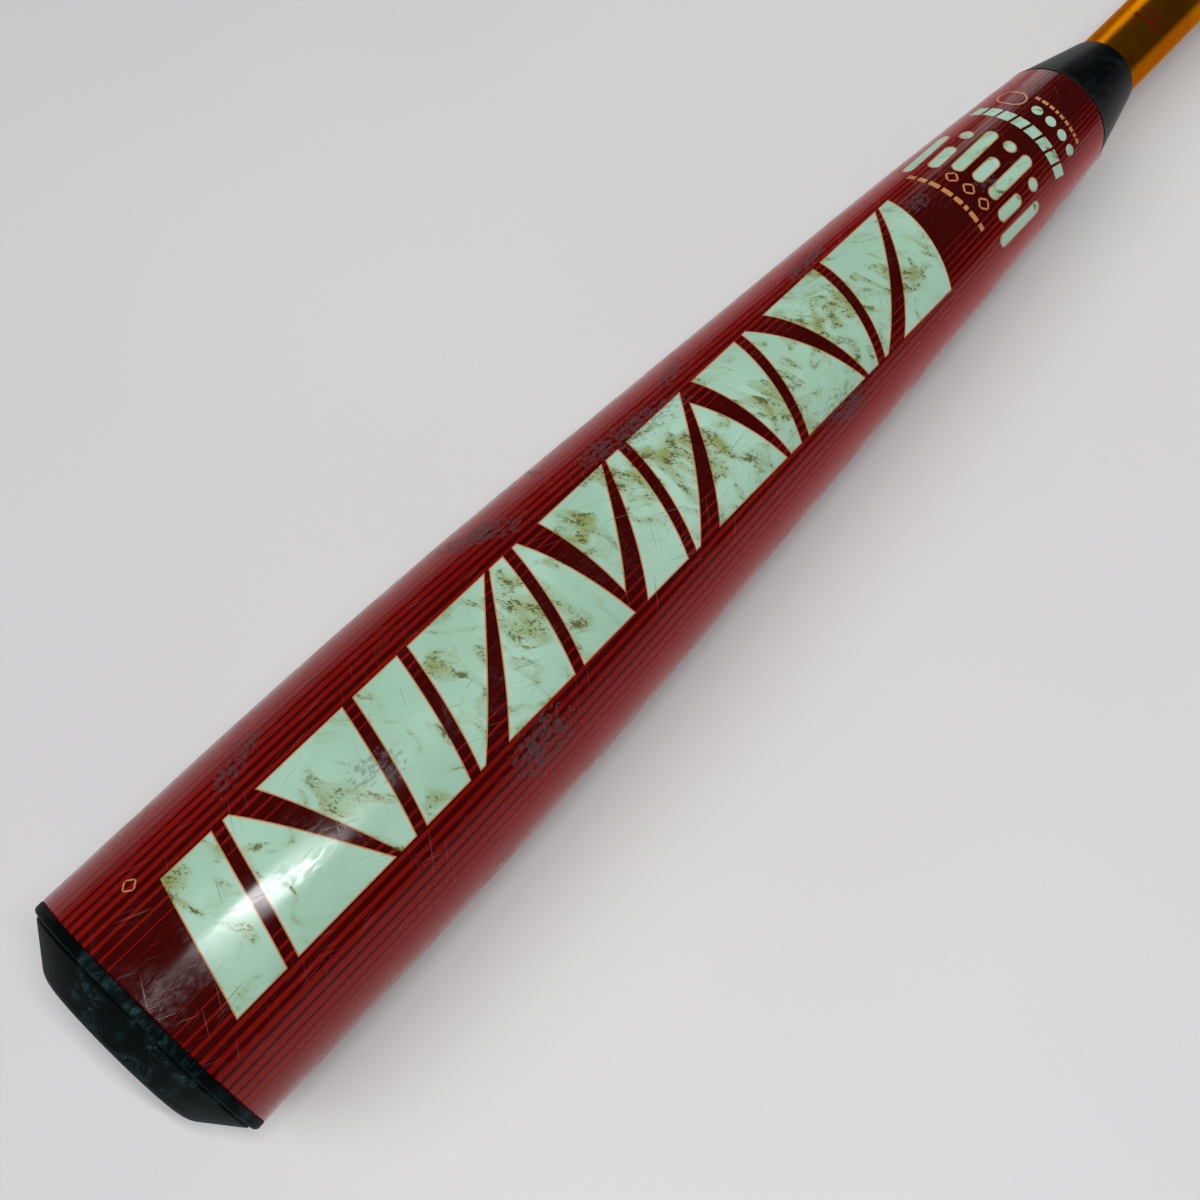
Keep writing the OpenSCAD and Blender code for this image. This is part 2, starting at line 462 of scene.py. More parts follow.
@dataclass(frozen=True)
class Rub:
    """A rubbed spot on the barrel: its middle, its half sizes in millimetres and its slant.

    Turns run from -180 to 180 degrees.
    """

    z: float
    turn: float
    along: float
    across: float
    slant: float = 0.0

    def mask(self, graph: Graph, flat: bpy.types.Node, arc: float) -> bpy.types.Node:
        """How strong the spot is, from 0 at its rim to 1 in its middle.

        Args:
            graph: The material's graph.
            flat: The coordinates laid flat.
            arc: Their millimetres for each radian.

        Returns:
            The node that holds the strength.
        """
        slant = math.radians(-self.slant)
        centre = Vector((self.z, math.radians(self.turn) * arc, 0))
        moved = Matrix.Rotation(slant, 3, "Z") @ -centre
        local = graph.add(Kind.MAPPING, flat, Rotation=(0, 0, slant), Location=tuple(moved))
        sized = graph.add(Kind.STRETCH, local, (1 / self.along, 1 / self.across, 1))
        return graph.add(Kind.STEP, graph.add(Kind.LENGTH, sized).outputs["Value"], 1.0, 0.25)


# Where balls, bags and bat racks have rubbed the barrel, front and then back.
RUBS = (
    Rub(98, 55, 15, 9), Rub(222, 52, 15, 8, 20), Rub(172, -20, 26, 8, 10), Rub(126, -34, 18, 7, 35),
    Rub(48, -30, 16, 5, -20), Rub(286, -6, 8, 5), Rub(66, 14, 12, 5, 20), Rub(250, -30, 16, 5, -15),
    Rub(151, -56, 1.4, 14, 8), Rub(308, 19, 9, 4, 30), Rub(196, -34, 12, 4, -30),
    Rub(150, -145, 26, 9, 15), Rub(84, 168, 18, 10, -25), Rub(232, -170, 15, 6, 10),
    Rub(204, -98, 22, 7, -15), Rub(110, -105, 14, 8, 25),
)
# Where the print has taken up dirt, front and then back.
GRIMY = (
    Rub(172, 6, 24, 13, 20), Rub(138, 2, 13, 9), Rub(206, 22, 18, 10, -30), Rub(240, 10, 20, 12, 15),
    Rub(118, 22, 16, 9, 30), Rub(92, 4, 9, 6), Rub(262, 26, 12, 8), Rub(20, -8, 8, 6),
    Rub(160, -164, 50, 16), Rub(250, -160, 22, 12),
)


@dataclass(frozen=True)
class Wear:
    """Marks that every finish of the barrel shares, so that they run on over its print.

    The eye gets greyed spots, hairlines and a dull bloom. Grit and hairlines are drawn a few
    times as coarse as real ones, to show.
    """

    arc: float = 30.0
    grit_mm: float = 0.9
    patch_mm: float = 7.0
    scratch_mm: float = 0.45
    scratch_length: float = 16.0
    scratch_turns: tuple[float, ...] = (6.0, -24.0, 58.0)
    bundle_mm: float = 19.0
    haze_mm: float = 12.0
    swirl_mm: float = 1.2

    def rubbed(self, graph: Graph, flat: bpy.types.Node) -> bpy.types.Node:
        """Abraded spots, broken up by the grit that made them.

        Args:
            graph: The material's graph.
            flat: The coordinates laid flat.

        Returns:
            The node that is 1 where the gloss is gone.
        """
        total = graph.strongest([rub.mask(graph, flat, self.arc) for rub in RUBS])
        grit = graph.grain(self.grit_mm, 5, 0.4, stretch=(0.6, 1.0, 1), on=flat)
        coarse = graph.grain(self.patch_mm, 4, 1.0, on=flat, shift=1)
        broken = graph.add(Kind.MULTIPLY_ADD, coarse, 0.35, grit)
        worked = graph.add(Kind.MULTIPLY_ADD, total, 0.2, broken)
        near = graph.add(Kind.STEP, total, 0.0, 0.35)
        return graph.add(Kind.MULTIPLY, near, graph.add(Kind.STEP, worked, 0.79, 0.95))

    def scratches(self, graph: Graph, flat: bpy.types.Node) -> bpy.types.Node:
        """Straight hairline scratches in three directions, in sparse bundles.

        Args:
            graph: The material's graph.
            flat: The coordinates laid flat.

        Returns:
            The node that is 1 in a scratch.
        """
        lines = []
        for shift, slant in enumerate(self.scratch_turns):
            turned = graph.add(Kind.MAPPING, flat, Rotation=(0, 0, math.radians(slant)))
            fine = graph.grain(1.0, 1, stretch=(1 / self.scratch_length, 1 / self.scratch_mm, 1),
                               shift=shift, on=turned)
            where = graph.grain(self.bundle_mm, 2, shift=shift + 5, on=flat)
            lines.append(graph.add(Kind.MULTIPLY, graph.add(Kind.STEP, fine, 0.66, 0.76),
                                   graph.add(Kind.STEP, where, 0.46, 0.62)))
        return graph.strongest(lines)

    def haze(self, graph: Graph, flat: bpy.types.Node) -> bpy.types.Node:
        """Where the gloss is dulled by rubbing too fine to see.

        Args:
            graph: The material's graph.
            flat: The coordinates laid flat.

        Returns:
            The node that holds how dull it is, from 0 to 1.
        """
        cloud = graph.grain(self.haze_mm, 5, 0.8, shift=11, on=flat)
        fine = graph.grain(self.swirl_mm, 5, 0.8, stretch=(0.5, 1.4, 1), shift=12, on=flat)
        return graph.add(Kind.MULTIPLY, graph.add(Kind.STEP, cloud, 0.36, 0.66),
                         graph.add(Kind.STEP, fine, 0.38, 0.64))

    def marks(self, graph: Graph, flat: bpy.types.Node) -> tuple[bpy.types.Node, ...]:
        """The rubbed spots, the scratches and the haze."""
        return self.rubbed(graph, flat), self.scratches(graph, flat), self.haze(graph, flat)


WEAR = Wear()


@dataclass(frozen=True)
class PaintedComposite:
    """Wet-sprayed red base with screened black pinstripes under clear coat, on a carbon shell.

    The eye gets a deep red with a hard gloss, lines that thin out round the barrel, and a haze
    of fine scratches where the clear coat is worn.
    """

    red: str = "#6a0703"
    light_red: str = "#760d07"
    # Painted sheen: a lighter red for the flanks, stronger towards the throat, standing in for the
    # reflection they catch at grazing angles.
    flank_sheen_red: str = "#860b05"
    throat_sheen_red: str = "#a8130b"
    dark: str = "#360301"
    worn: str = "#44373b"
    scratch: str = "#8d6c6a"
    gloss: float = 0.12
    stripes: int = 80
    full_turn: float = 7.0
    last_turn: float = 84.0
    thinning: float = 1.55
    # Turns from the middle of a side over which the painted sheen comes in.
    flank: tuple[float, float] = (24.0, 75.0)
    length: float = 364.0
    tone_mm: float = 40.0
    peel_mm: float = 2.2

    def stripes_at(self, graph: Graph, from_middle: Value, away: Value) -> bpy.types.Node:
        """Dark pinstripes along the bat, widest at the middle of the front and of the back.

        Args:
            graph: The material's graph.
            from_middle: The turn from the middle of the front.
            away: The turn from the middle of the nearer side.

        Returns:
            The node that is 1 on a stripe and 0 off it.
        """
        share = graph.add(Kind.RANGE, away, math.radians(self.last_turn), math.radians(self.full_turn))
        width = graph.add(Kind.POWER, share, self.thinning)
        count = graph.add(Kind.MULTIPLY, from_middle, self.stripes / FULL_TURN)
        wave = graph.add(Kind.MULTIPLY, graph.add(Kind.PINGPONG, count, 0.5), 2)
        soft = graph.add(Kind.SUBTRACT, wave, graph.add(Kind.MULTIPLY_ADD, width, 1.14, -0.07))
        return graph.add(Kind.STEP, soft, 0.07, -0.07)

    def paint(self, graph: Graph) -> bpy.types.Node:
        """The red with its fading stripes, and on the flanks a painted sheen: lighter red and fainter
        stripes, more so towards the throat.

        Args:
            graph: The material's graph.

        Returns:
            The node that holds the colour.
        """
        from_middle = graph.add(Kind.SUBTRACT, graph.turn, math.radians(Side.FRONT.value))
        away = graph.add(Kind.PINGPONG, from_middle, math.pi / 2)
        # Painted sheen: the flanks get a lighter red and fainter stripes in place of the reflection they
        # catch at grazing angles.
        flank = graph.add(Kind.STEP, away, *map(math.radians, self.flank))
        to_throat = graph.add(Kind.MULTIPLY, graph.z, 1 / self.length)
        tone = graph.add(Kind.STEP, graph.grain(self.tone_mm, 2, shift=6), 0.3, 0.7)
        middle = graph.add(Kind.BLEND, tone, self.red, self.light_red)
        # The painted sheen's red, lighter towards the throat, and how far the sheen fades the stripes.
        side = graph.add(Kind.BLEND, to_throat, self.flank_sheen_red, self.throat_sheen_red)
        sheen_fade = graph.add(Kind.MULTIPLY, flank, graph.add(Kind.MULTIPLY_ADD, to_throat, 0.6, 0.1))
        stripe = graph.add(Kind.MULTIPLY, self.stripes_at(graph, from_middle, away),
                           graph.add(Kind.SUBTRACT, 1.0, sheen_fade))
        return graph.add(Kind.BLEND, stripe, graph.add(Kind.BLEND, flank, middle, side), self.dark)

    def material(self) -> bpy.types.Material:
        """Makes the material.

        Returns:
            The finished material.
        """
        graph = Graph("painted_composite_gloss")
        rubbed, scratches, haze = WEAR.marks(graph, graph.skin(WEAR.arc))
        marked = graph.add(Kind.BLEND, graph.add(Kind.MULTIPLY, scratches, 0.22), self.paint(graph),
                           self.scratch)
        colour = graph.add(Kind.BLEND, graph.add(Kind.MULTIPLY, rubbed, 0.8), marked, self.worn)
        dull = graph.add(Kind.MULTIPLY_ADD, haze, 0.26, self.gloss)
        orange_peel = graph.add(Kind.MULTIPLY, graph.grain(self.peel_mm, 2, shift=7), 0.1)
        height = graph.add(Kind.MULTIPLY_ADD, graph.add(Kind.MAXIMUM, rubbed, scratches), -0.8,
                           orange_peel)
        return graph.finish(height, 0.45, 0.03, Base_Color=colour, IOR=1.45, Specular_IOR_Level=0.21,
                            Roughness=graph.add(Kind.MULTIPLY_ADD, rubbed, 0.25, dull))


@dataclass(frozen=True)
class PrintedInk:
    """Opaque screen ink under the same clear coat as the paint, dulled by grime and scratches.

    The eye gets a flat even colour with a crisp edge, and brown smears that follow the bat.
    """

    name: str
    colour: str
    shade: str
    stain: str = "#808845"
    grime: str = "#4d4716"
    scrape: str = "#5d4a4c"
    gloss: float = 0.13
    smear_turn: float = 32.0
    smear_mm: float = 9.0
    clump_mm: float = 2.8
    speck_mm: float = 0.6
    tone_mm: float = 26.0

    def grimy(self, graph: Graph, flat: bpy.types.Node) -> tuple[bpy.types.Node, bpy.types.Node]:
        """Smears that run slantwise round the bat, and the specks of dirt in them.

        Args:
            graph: The material's graph.
            flat: The coordinates laid flat.

        Returns:
            The nodes that hold the stain and the specks.
        """
        zone = graph.strongest([spot.mask(graph, flat, WEAR.arc) for spot in GRIMY])
        turned = graph.add(Kind.MAPPING, flat, Rotation=(0, 0, math.radians(self.smear_turn)))
        smear = graph.grain(self.smear_mm, 6, 1.2, stretch=(1.3, 0.8, 1), shift=8, on=turned)
        fine = graph.grain(self.speck_mm, 6, 0.3, stretch=(1.2, 0.7, 1), shift=9, on=turned)
        clump = graph.grain(self.clump_mm, 5, 0.5, stretch=(1.4, 0.7, 1), shift=14, on=turned)
        sown = graph.add(Kind.MULTIPLY_ADD, clump, 1.1, fine)
        dirt = graph.add(Kind.MULTIPLY_ADD, zone, 0.17, smear)
        stain = graph.add(Kind.MULTIPLY, graph.add(Kind.STEP, dirt, 0.46, 0.86), 0.95)
        speck = graph.add(Kind.MULTIPLY, graph.add(Kind.STEP, dirt, 0.53, 0.66),
                          graph.add(Kind.STEP, sown, 1.08, 1.2))
        return stain, speck

    def material(self) -> bpy.types.Material:
        """Makes the material.

        Returns:
            The finished material.
        """
        graph = Graph(self.name)
        flat = graph.skin(WEAR.arc)
        rubbed, scratches, haze = WEAR.marks(graph, flat)
        stain, speck = self.grimy(graph, flat)
        tone = graph.add(Kind.STEP, graph.grain(self.tone_mm, 3, shift=10), 0.35, 0.65)
        colour = graph.add(Kind.BLEND, tone, self.colour, self.shade)
        for cover, share, tint in ((stain, 1.0, self.stain), (speck, 0.85, self.grime),
                                   (scratches, 0.5, self.grime), (rubbed, 0.45, self.scrape)):
            colour = graph.add(Kind.BLEND, graph.add(Kind.MULTIPLY, cover, share), colour, tint)
        dull = graph.add(Kind.MULTIPLY_ADD, haze, 0.2, self.gloss)
        return graph.finish(graph.add(Kind.MAXIMUM, rubbed, scratches), 0.4, -0.02, Base_Color=colour,
                            IOR=1.45, Specular_IOR_Level=0.26,
                            Roughness=graph.add(Kind.MULTIPLY_ADD, stain, 0.2, dull))


@dataclass(frozen=True)
class MouldedRubber:
    """Compression-moulded urethane rubber: matt and dark, greyed by dust and by scuffs.

    The eye gets a near-black body with a cloudy bloom and light grazed specks.
    """

    name: str
    colour: str
    bloom: str
    roughness: float
    pebble_mm: float
    scuffed: float
    shine: float
    cloud_mm: float = 11.0
    graze_mm: float = 2.4
    speck_mm: float = 0.9

    def material(self) -> bpy.types.Material:
        """Makes the material.

        Returns:
            The finished material.
        """
        graph = Graph(self.name)
        cloud = graph.grain(self.cloud_mm, 5, 1.2, shift=1)
        graze = graph.grain(self.graze_mm, 6, 2.2, stretch=(1, 1, 0.5), shift=2)
        speck = graph.add(Kind.STEP, graph.grain(self.speck_mm, 2, shift=3), 0.71, 0.78, 0, 0.3)
        scuff = graph.add(Kind.MULTIPLY, graph.add(Kind.STEP, cloud, 0.44, 0.68),
                          graph.add(Kind.STEP, graze, 0.36, 0.74))
        dust = graph.add(Kind.MAXIMUM, graph.add(Kind.MULTIPLY, scuff, self.scuffed), speck)
        height = graph.add(Kind.MULTIPLY_ADD, scuff, -0.5, graph.grain(self.pebble_mm, 3, shift=4))
        return graph.finish(height, 0.5, 0.06,
                            Base_Color=graph.add(Kind.BLEND, dust, self.colour, self.bloom),
                            Roughness=graph.add(Kind.MULTIPLY_ADD, dust, 0.25, self.roughness),
                            Specular_IOR_Level=self.shine)


@dataclass(frozen=True)
class CandyAluminium:
    """Drawn aluminium tube, polished, with a transparent orange lacquer over it.

    The eye gets a deep golden metal that swings from near black to bright at its edges. The
    drawing lines along the tube are drawn several times as coarse as real ones, to show.
    """

    colour: str = "#c88312"
    deep: str = "#b36a0a"
    nicked: str = "#5a2c0a"
    edge: str = "#f2b45c"
    arc: float = 11.0
    drawn_mm: float = 0.9
    cloud_mm: float = 22.0
    nick_mm: float = 3.5

    def material(self) -> bpy.types.Material:
        """Makes the material.

        Returns:
            The finished material.
        """
        graph = Graph("candy_aluminium")
        flat = graph.skin(self.arc)
        drawn = graph.grain(self.drawn_mm, 3, stretch=(0.02, 1, 1), shift=1, on=flat)
        cloud = graph.add(Kind.STEP, graph.grain(self.cloud_mm, 3, shift=2), 0.3, 0.7)
        nick = graph.grain(self.nick_mm, 5, 1.5, stretch=(0.5, 1.4, 1), shift=3, on=flat)
        mark = graph.add(Kind.STEP, nick, 0.66, 0.72)
        lacquer = graph.add(Kind.BLEND, cloud, self.colour, self.deep)
        marked = graph.add(Kind.BLEND, graph.add(Kind.MULTIPLY, mark, 0.5), lacquer, self.nicked)
        return graph.finish(graph.add(Kind.MULTIPLY_ADD, mark, -1.0, drawn), 0.3, 0.006,
                            Base_Color=marked, Metallic=1.0, Specular_Tint=self.edge,
                            Roughness=graph.add(Kind.STEP, drawn, 0.3, 0.7, 0.22, 0.27))


@dataclass(frozen=True)
class TurnedAluminium:
    """Turned aluminium, bare or anodised: fine rings left by the cutting tool.

    The eye gets a soft metal sheen that runs round the piece, paler where it has been knocked.
    The rings are drawn two or three times as coarse as real ones, to show.
    """

    name: str
    colour: str
    roughness: float
    ring_mm: float = 0.35
    cloud_mm: float = 0.7
    nick_mm: float = 3.2
    worn: str = "#616164"
    wear: float = 0.0

    def material(self) -> bpy.types.Material:
        """Makes the material.

        Returns:
            The finished material.
        """
        graph = Graph(self.name)
        ring = graph.add(Kind.PINGPONG, graph.z, self.ring_mm / 2)
        fine = graph.grain(self.cloud_mm, 3, shift=1)
        nick = graph.add(Kind.STEP, graph.grain(self.nick_mm, 5, 1.4, shift=2), 0.64, 0.72)
        bare = graph.add(Kind.MULTIPLY, nick, self.wear)
        height = graph.add(Kind.MULTIPLY_ADD, ring, 1 / self.ring_mm,
                           graph.add(Kind.MULTIPLY, nick, -0.8))
        return graph.finish(height, 0.3, 0.012, Metallic=1.0,
                            Base_Color=graph.add(Kind.BLEND, bare, self.colour, self.worn),
                            Roughness=graph.add(Kind.STEP, fine, 0.25, 0.75, self.roughness - 0.06,
                                                self.roughness + 0.1))


@dataclass(frozen=True)
class WovenComposite:
    """Bare carbon and glass laminate: flat tows woven over and under, wet with resin.

    The eye gets a dark checker of small glossy tows, drawn at their real width.
    """

    colour: str = "#1c1d20"
    thread: str = "#3a3c42"
    tow_mm: float = 3.0
    fibre_mm: float = 0.3
    arc: float = 30.0

    def material(self) -> bpy.types.Material:
        """Makes the material.

        Returns:
            The finished material.
        """
        graph = Graph("raw_composite_weave")
        tows = [graph.add(Kind.PINGPONG, graph.add(Kind.MULTIPLY, way, scale / self.tow_mm), 0.5)
                for way, scale in ((graph.z, 1), (graph.turn, self.arc))]
        over = graph.add(Kind.MULTIPLY, *[graph.add(Kind.STEP, tow, 0.05, 0.45) for tow in tows])
        fibre = graph.grain(self.fibre_mm, 2, stretch=(1, 4, 1), on=graph.skin(self.arc))
        return graph.finish(graph.add(Kind.MULTIPLY_ADD, fibre, 0.2, over), 0.5, 0.12,
                            Base_Color=graph.add(Kind.BLEND, over, self.colour, self.thread),
                            Roughness=graph.add(Kind.STEP, fibre, 0.3, 0.7, 0.32, 0.5),
                            Specular_IOR_Level=0.5)


@dataclass(frozen=True)
class CastFilling:
    """Poured, foamed or moulded inner piece: a plain body with flecks and a grainy skin."""

    name: str
    colour: str
    fleck: str
    fleck_mm: float
    roughness: float
    relief_mm: float = 0.08

    def material(self) -> bpy.types.Material:
        """Makes the material.

        Returns:
            The finished material.
        """
        graph = Graph(self.name)
        fleck = graph.grain(self.fleck_mm, 4, 0.8)
        cloud = graph.add(Kind.STEP, graph.grain(self.fleck_mm * 9, 2, shift=1), 0.4, 0.8, 0, 0.35)
        mixed = graph.add(Kind.BLEND, graph.add(Kind.STEP, fleck, 0.48, 0.66), self.colour, self.fleck)
        return graph.finish(fleck, 0.6, self.relief_mm,
                            Base_Color=graph.add(Kind.BLEND, cloud, mixed, self.fleck),
                            Roughness=graph.add(Kind.STEP, fleck, 0.2, 0.8, self.roughness - 0.08,
                                                self.roughness + 0.08))


@dataclass(frozen=True)
class GripLeather:
    """Polyurethane-faced wrap with an embossed leather grain and rows of pinholes.

    The eye gets a soft black, shiny where the palms have worn it. The pebble and the pinholes
    have real sizes.
    """

    colour: str = "#141416"
    palm: str = "#26272a"
    shadow: str = "#050505"
    pebble_mm: float = 1.3
    hole_mm: float = 4.6
    palm_mm: float = 26.0
    pitch: float = 21.0
    arc: float = 12.5

    def material(self) -> bpy.types.Material:
        """Makes the material.

        Returns:
            The finished material.
        """
        graph = Graph("grip_leather")
        pebble = graph.add(Kind.CELLS, graph.skin(self.arc), Scale=1 / self.pebble_mm)
        raised = graph.add(Kind.STEP, pebble, 0.02, 0.28)
        wound = graph.add(Kind.MULTIPLY_ADD, graph.turn, -self.pitch / FULL_TURN, graph.z)
        way_round = graph.add(Kind.MULTIPLY, graph.turn, self.arc)
        row = [graph.add(Kind.PINGPONG, way, self.hole_mm / 2) for way in (wound, way_round)]
        off = graph.add(Kind.LENGTH, graph.add(Kind.COMBINE, *row))
        hole = graph.add(Kind.STEP, off.outputs["Value"], 0.55, 0.35)
        worn = graph.add(Kind.STEP, graph.grain(self.palm_mm, 3, shift=2), 0.42, 0.66)
        body = graph.add(Kind.BLEND, graph.add(Kind.MULTIPLY, worn, 0.7), self.colour, self.palm)
        return graph.finish(graph.add(Kind.MULTIPLY_ADD, hole, -3.0, raised), 0.6, 0.09,
                            Base_Color=graph.add(Kind.BLEND, hole, body, self.shadow),
                            Roughness=graph.add(Kind.MULTIPLY_ADD, worn, -0.14, 0.6),
                            Specular_IOR_Level=0.4)


@dataclass(frozen=True)
class VinylTape:
    """Stretched black vinyl tape: glossy, with faint lines round the handle where it was pulled."""

    colour: str = "#101113"
    dust: str = "#3a3b3d"
    pull_mm: float = 1.6
    dust_mm: float = 5.0
    arc: float = 12.5

    def material(self) -> bpy.types.Material:
        """Makes the material.

        Returns:
            The finished material.
        """
        graph = Graph("vinyl_tape")
        pulled = graph.grain(self.pull_mm, 3, 0.4, stretch=(3.0, 0.12, 1), on=graph.skin(self.arc))
        dust = graph.add(Kind.STEP, graph.grain(self.dust_mm, 4, 1, shift=1), 0.55, 0.75, 0, 0.5)
        return graph.finish(pulled, 0.5, 0.05,
                            Base_Color=graph.add(Kind.BLEND, dust, self.colour, self.dust),
                            Roughness=graph.add(Kind.STEP, pulled, 0.3, 0.7, 0.22, 0.36))


@dataclass(frozen=True)
class PouredBadge:
    """Domed resin disc poured over an orange foil with fine turned rings.

    The eye gets a glossy dome over rings that glint, with a black rim. The rings are drawn
    twice as coarse as real ones, to show.
    """

    colour: str = "#b8661a"
    groove: str = "#8c4a10"
    rim: str = "#1a1a1c"
    rim_radius: float = 14.6
    ring_mm: float = 0.8
    scratch_mm: float = 2.0

    def material(self) -> bpy.types.Material:
        """Makes the material.

        Returns:
            The finished material.
        """
        graph = Graph("badge_resin")
        squares = [graph.add(Kind.MULTIPLY, graph.axes.outputs[i], graph.axes.outputs[i]) for i in "XY"]
        radius = graph.add(Kind.SQRT, graph.add(Kind.ADD, *squares))
        ring = graph.add(Kind.STEP, graph.add(Kind.PINGPONG, radius, self.ring_mm / 2), 0.1, 0.3)
        foil = graph.add(Kind.BLEND, ring, self.colour, self.groove)
        edge = graph.add(Kind.STEP, radius, self.rim_radius - 0.1, self.rim_radius + 0.1)
        scratch = graph.add(Kind.STEP, graph.grain(self.scratch_mm, 5, 1.6), 0.62, 0.7)
        return graph.finish(scratch, 0.4, -0.02, Coat_Weight=1.0, Coat_Roughness=0.05,
                            Base_Color=graph.add(Kind.BLEND, edge, foil, self.rim),
                            Metallic=graph.add(Kind.MULTIPLY_ADD, edge, -0.6, 0.6),
                            Roughness=graph.add(Kind.MULTIPLY_ADD, scratch, 0.25, 0.3))


@dataclass(frozen=True)
class ClothTape:
    """Double-sided cloth tape: a plain weave of thin threads, drawn twice as coarse, to show."""

    colour: str = "#cfc9b6"
    gap: str = "#a79f88"
    thread_mm: float = 0.8
    arc: float = 11.2

    def material(self) -> bpy.types.Material:
        """Makes the material.

        Returns:
            The finished material.
        """
        graph = Graph("tape_backing")
        way_round = graph.add(Kind.MULTIPLY, graph.turn, self.arc)
        threads = [graph.add(Kind.PINGPONG, way, self.thread_mm / 2) for way in (graph.z, way_round)]
        weave = graph.add(Kind.MULTIPLY, graph.add(Kind.ADD, *threads), 1 / self.thread_mm)
        return graph.finish(weave, 0.7, 0.1, Roughness=0.85,
                            Base_Color=graph.add(Kind.BLEND, weave, self.gap, self.colour))


@dataclass(frozen=True)
class StudioPaper:
    """Matt white table top, faintly uneven in tone."""

    colour: str = "#d3d3d3"
    shade: str = "#cecdcf"
    cloud_mm: float = 300.0

    def material(self) -> bpy.types.Material:
        """Makes the material.

        Returns:
            The finished material.
        """
        graph = Graph("studio_paper")
        cloud = graph.add(Kind.STEP, graph.grain(self.cloud_mm, 2), 0.3, 0.7)
        graph.feed(graph.shader, Roughness=0.55,
                   Base_Color=graph.add(Kind.BLEND, cloud, self.colour, self.shade))
        return graph.material


class Finishes:
    """Every material of the bat, made once."""

    def __init__(self) -> None:
        """Makes the materials, from the barrel to the table."""
        self.paint = PaintedComposite().material()
        self.weave = WovenComposite().material()
        self.mint = PrintedInk("mint_ink", "#a2c6b2", "#97bba5").material()
        self.peach = PrintedInk("peach_ink", "#bd7f52", "#ad7248").material()
        self.cap = MouldedRubber("cap_urethane", "#020708", "#243d3f", 0.5, 0.8, 0.95, 0.02).material()
        self.collar = MouldedRubber("collar_rubber", "#010406", "#2a3235", 0.32, 0.5, 0.45,
                                    0.05).material()
        self.dark_red = PrintedInk("dark_red_ink", "#5c0d0a", "#4c0907", stain="#520d0a",
                                   grime="#3a0806").material()
        self.handle = CandyAluminium().material()
        self.black = TurnedAluminium("black_aluminium", "#17181a", 0.32, wear=0.4).material()
        self.bare = TurnedAluminium("bare_aluminium", "#b4b5b7", 0.34).material()
        self.badge = PouredBadge().material()
        self.leather = GripLeather().material()
        self.vinyl = VinylTape().material()
        self.cloth = ClothTape().material()
        self.weight = CastFilling("filled_resin", "#6f6a60", "#3f3c36", 1.2, 0.7).material()
        self.glue = CastFilling("epoxy", "#d8cfa8", "#b9aa7c", 2.5, 0.35, 0.03).material()
        self.sleeve = CastFilling("clear_urethane", "#c89a3e", "#a87a26", 6, 0.3, 0.02).material()
        self.foam = CastFilling("foam_plug", "#8d8c84", "#5f5e58", 0.8, 0.9, 0.2).material()
        self.floor = StudioPaper().material()


# ---------------------------------------------------------------- printed film


@dataclass(frozen=True)
class Cut:
    """A straight cut through flat film: a point on it and the way off the shape."""

    at: Vector
    out: Vector


@dataclass(frozen=True)
class Patch:
    """A convex printed shape, flat, with x along the bat and y round it, in millimetres."""

    cuts: tuple[Cut, ...]
    low: Vector
    high: Vector
    border: float = 0.0
    hollow: bool = False


def quad(corners: Sequence[Point], border: float = 0.0) -> Patch:
    """A patch with straight sides.

    Args:
        corners: Its corners in counter-clockwise order.
        border: The width of its outline.

    Returns:
        The patch.
    """
    points = [Vector((x, y, 0)) for x, y in corners]
    cuts = []
    for a, b in zip(points, points[1:] + points[:1]):
        run = (b - a).normalized()
        cuts.append(Cut(a, Vector((run.y, -run.x, 0))))
    low = Vector((min(p.x for p in points), min(p.y for p in points), 0))
    high = Vector((max(p.x for p in points), max(p.y for p in points), 0))
    return Patch(tuple(cuts), low, high, border)


def pill(x: float, y: float, length: float, width: float, turn: float = 0.0, border: float = 0.0,
         hollow: bool = False, sides: int = 20) -> Patch:
    """A patch with round ends.

    Args:
        x: Its middle along the bat.
        y: Its middle round the bat.
        length: Its length.
        width: Its width, which is a disc's diameter where it equals the length.
        turn: The angle of its length from the bat's axis, in degrees.
        border: The width of its outline.
        hollow: Whether only the outline is printed.
        sides: The number of straight cuts round it, a multiple of 4.

    Returns:
        The patch.
    """
    spread = Vector(((length - width) / 2, 0, 0))
    turned = Matrix.Rotation(math.radians(turn), 3, "Z")
    cuts = []
    for i in range(sides):
        a = FULL_TURN * i / sides
        out = Vector((math.cos(a), math.sin(a), 0))
        centre = spread if out.x > 0 else -spread
        cuts.append(Cut(turned @ (centre + out * width / 2) + Vector((x, y, 0)), turned @ out))
    reach = Vector((length / 2, length / 2, 0))
    middle = Vector((x, y, 0))
    return Patch(tuple(cuts), middle - reach, middle + reach, border, hollow)


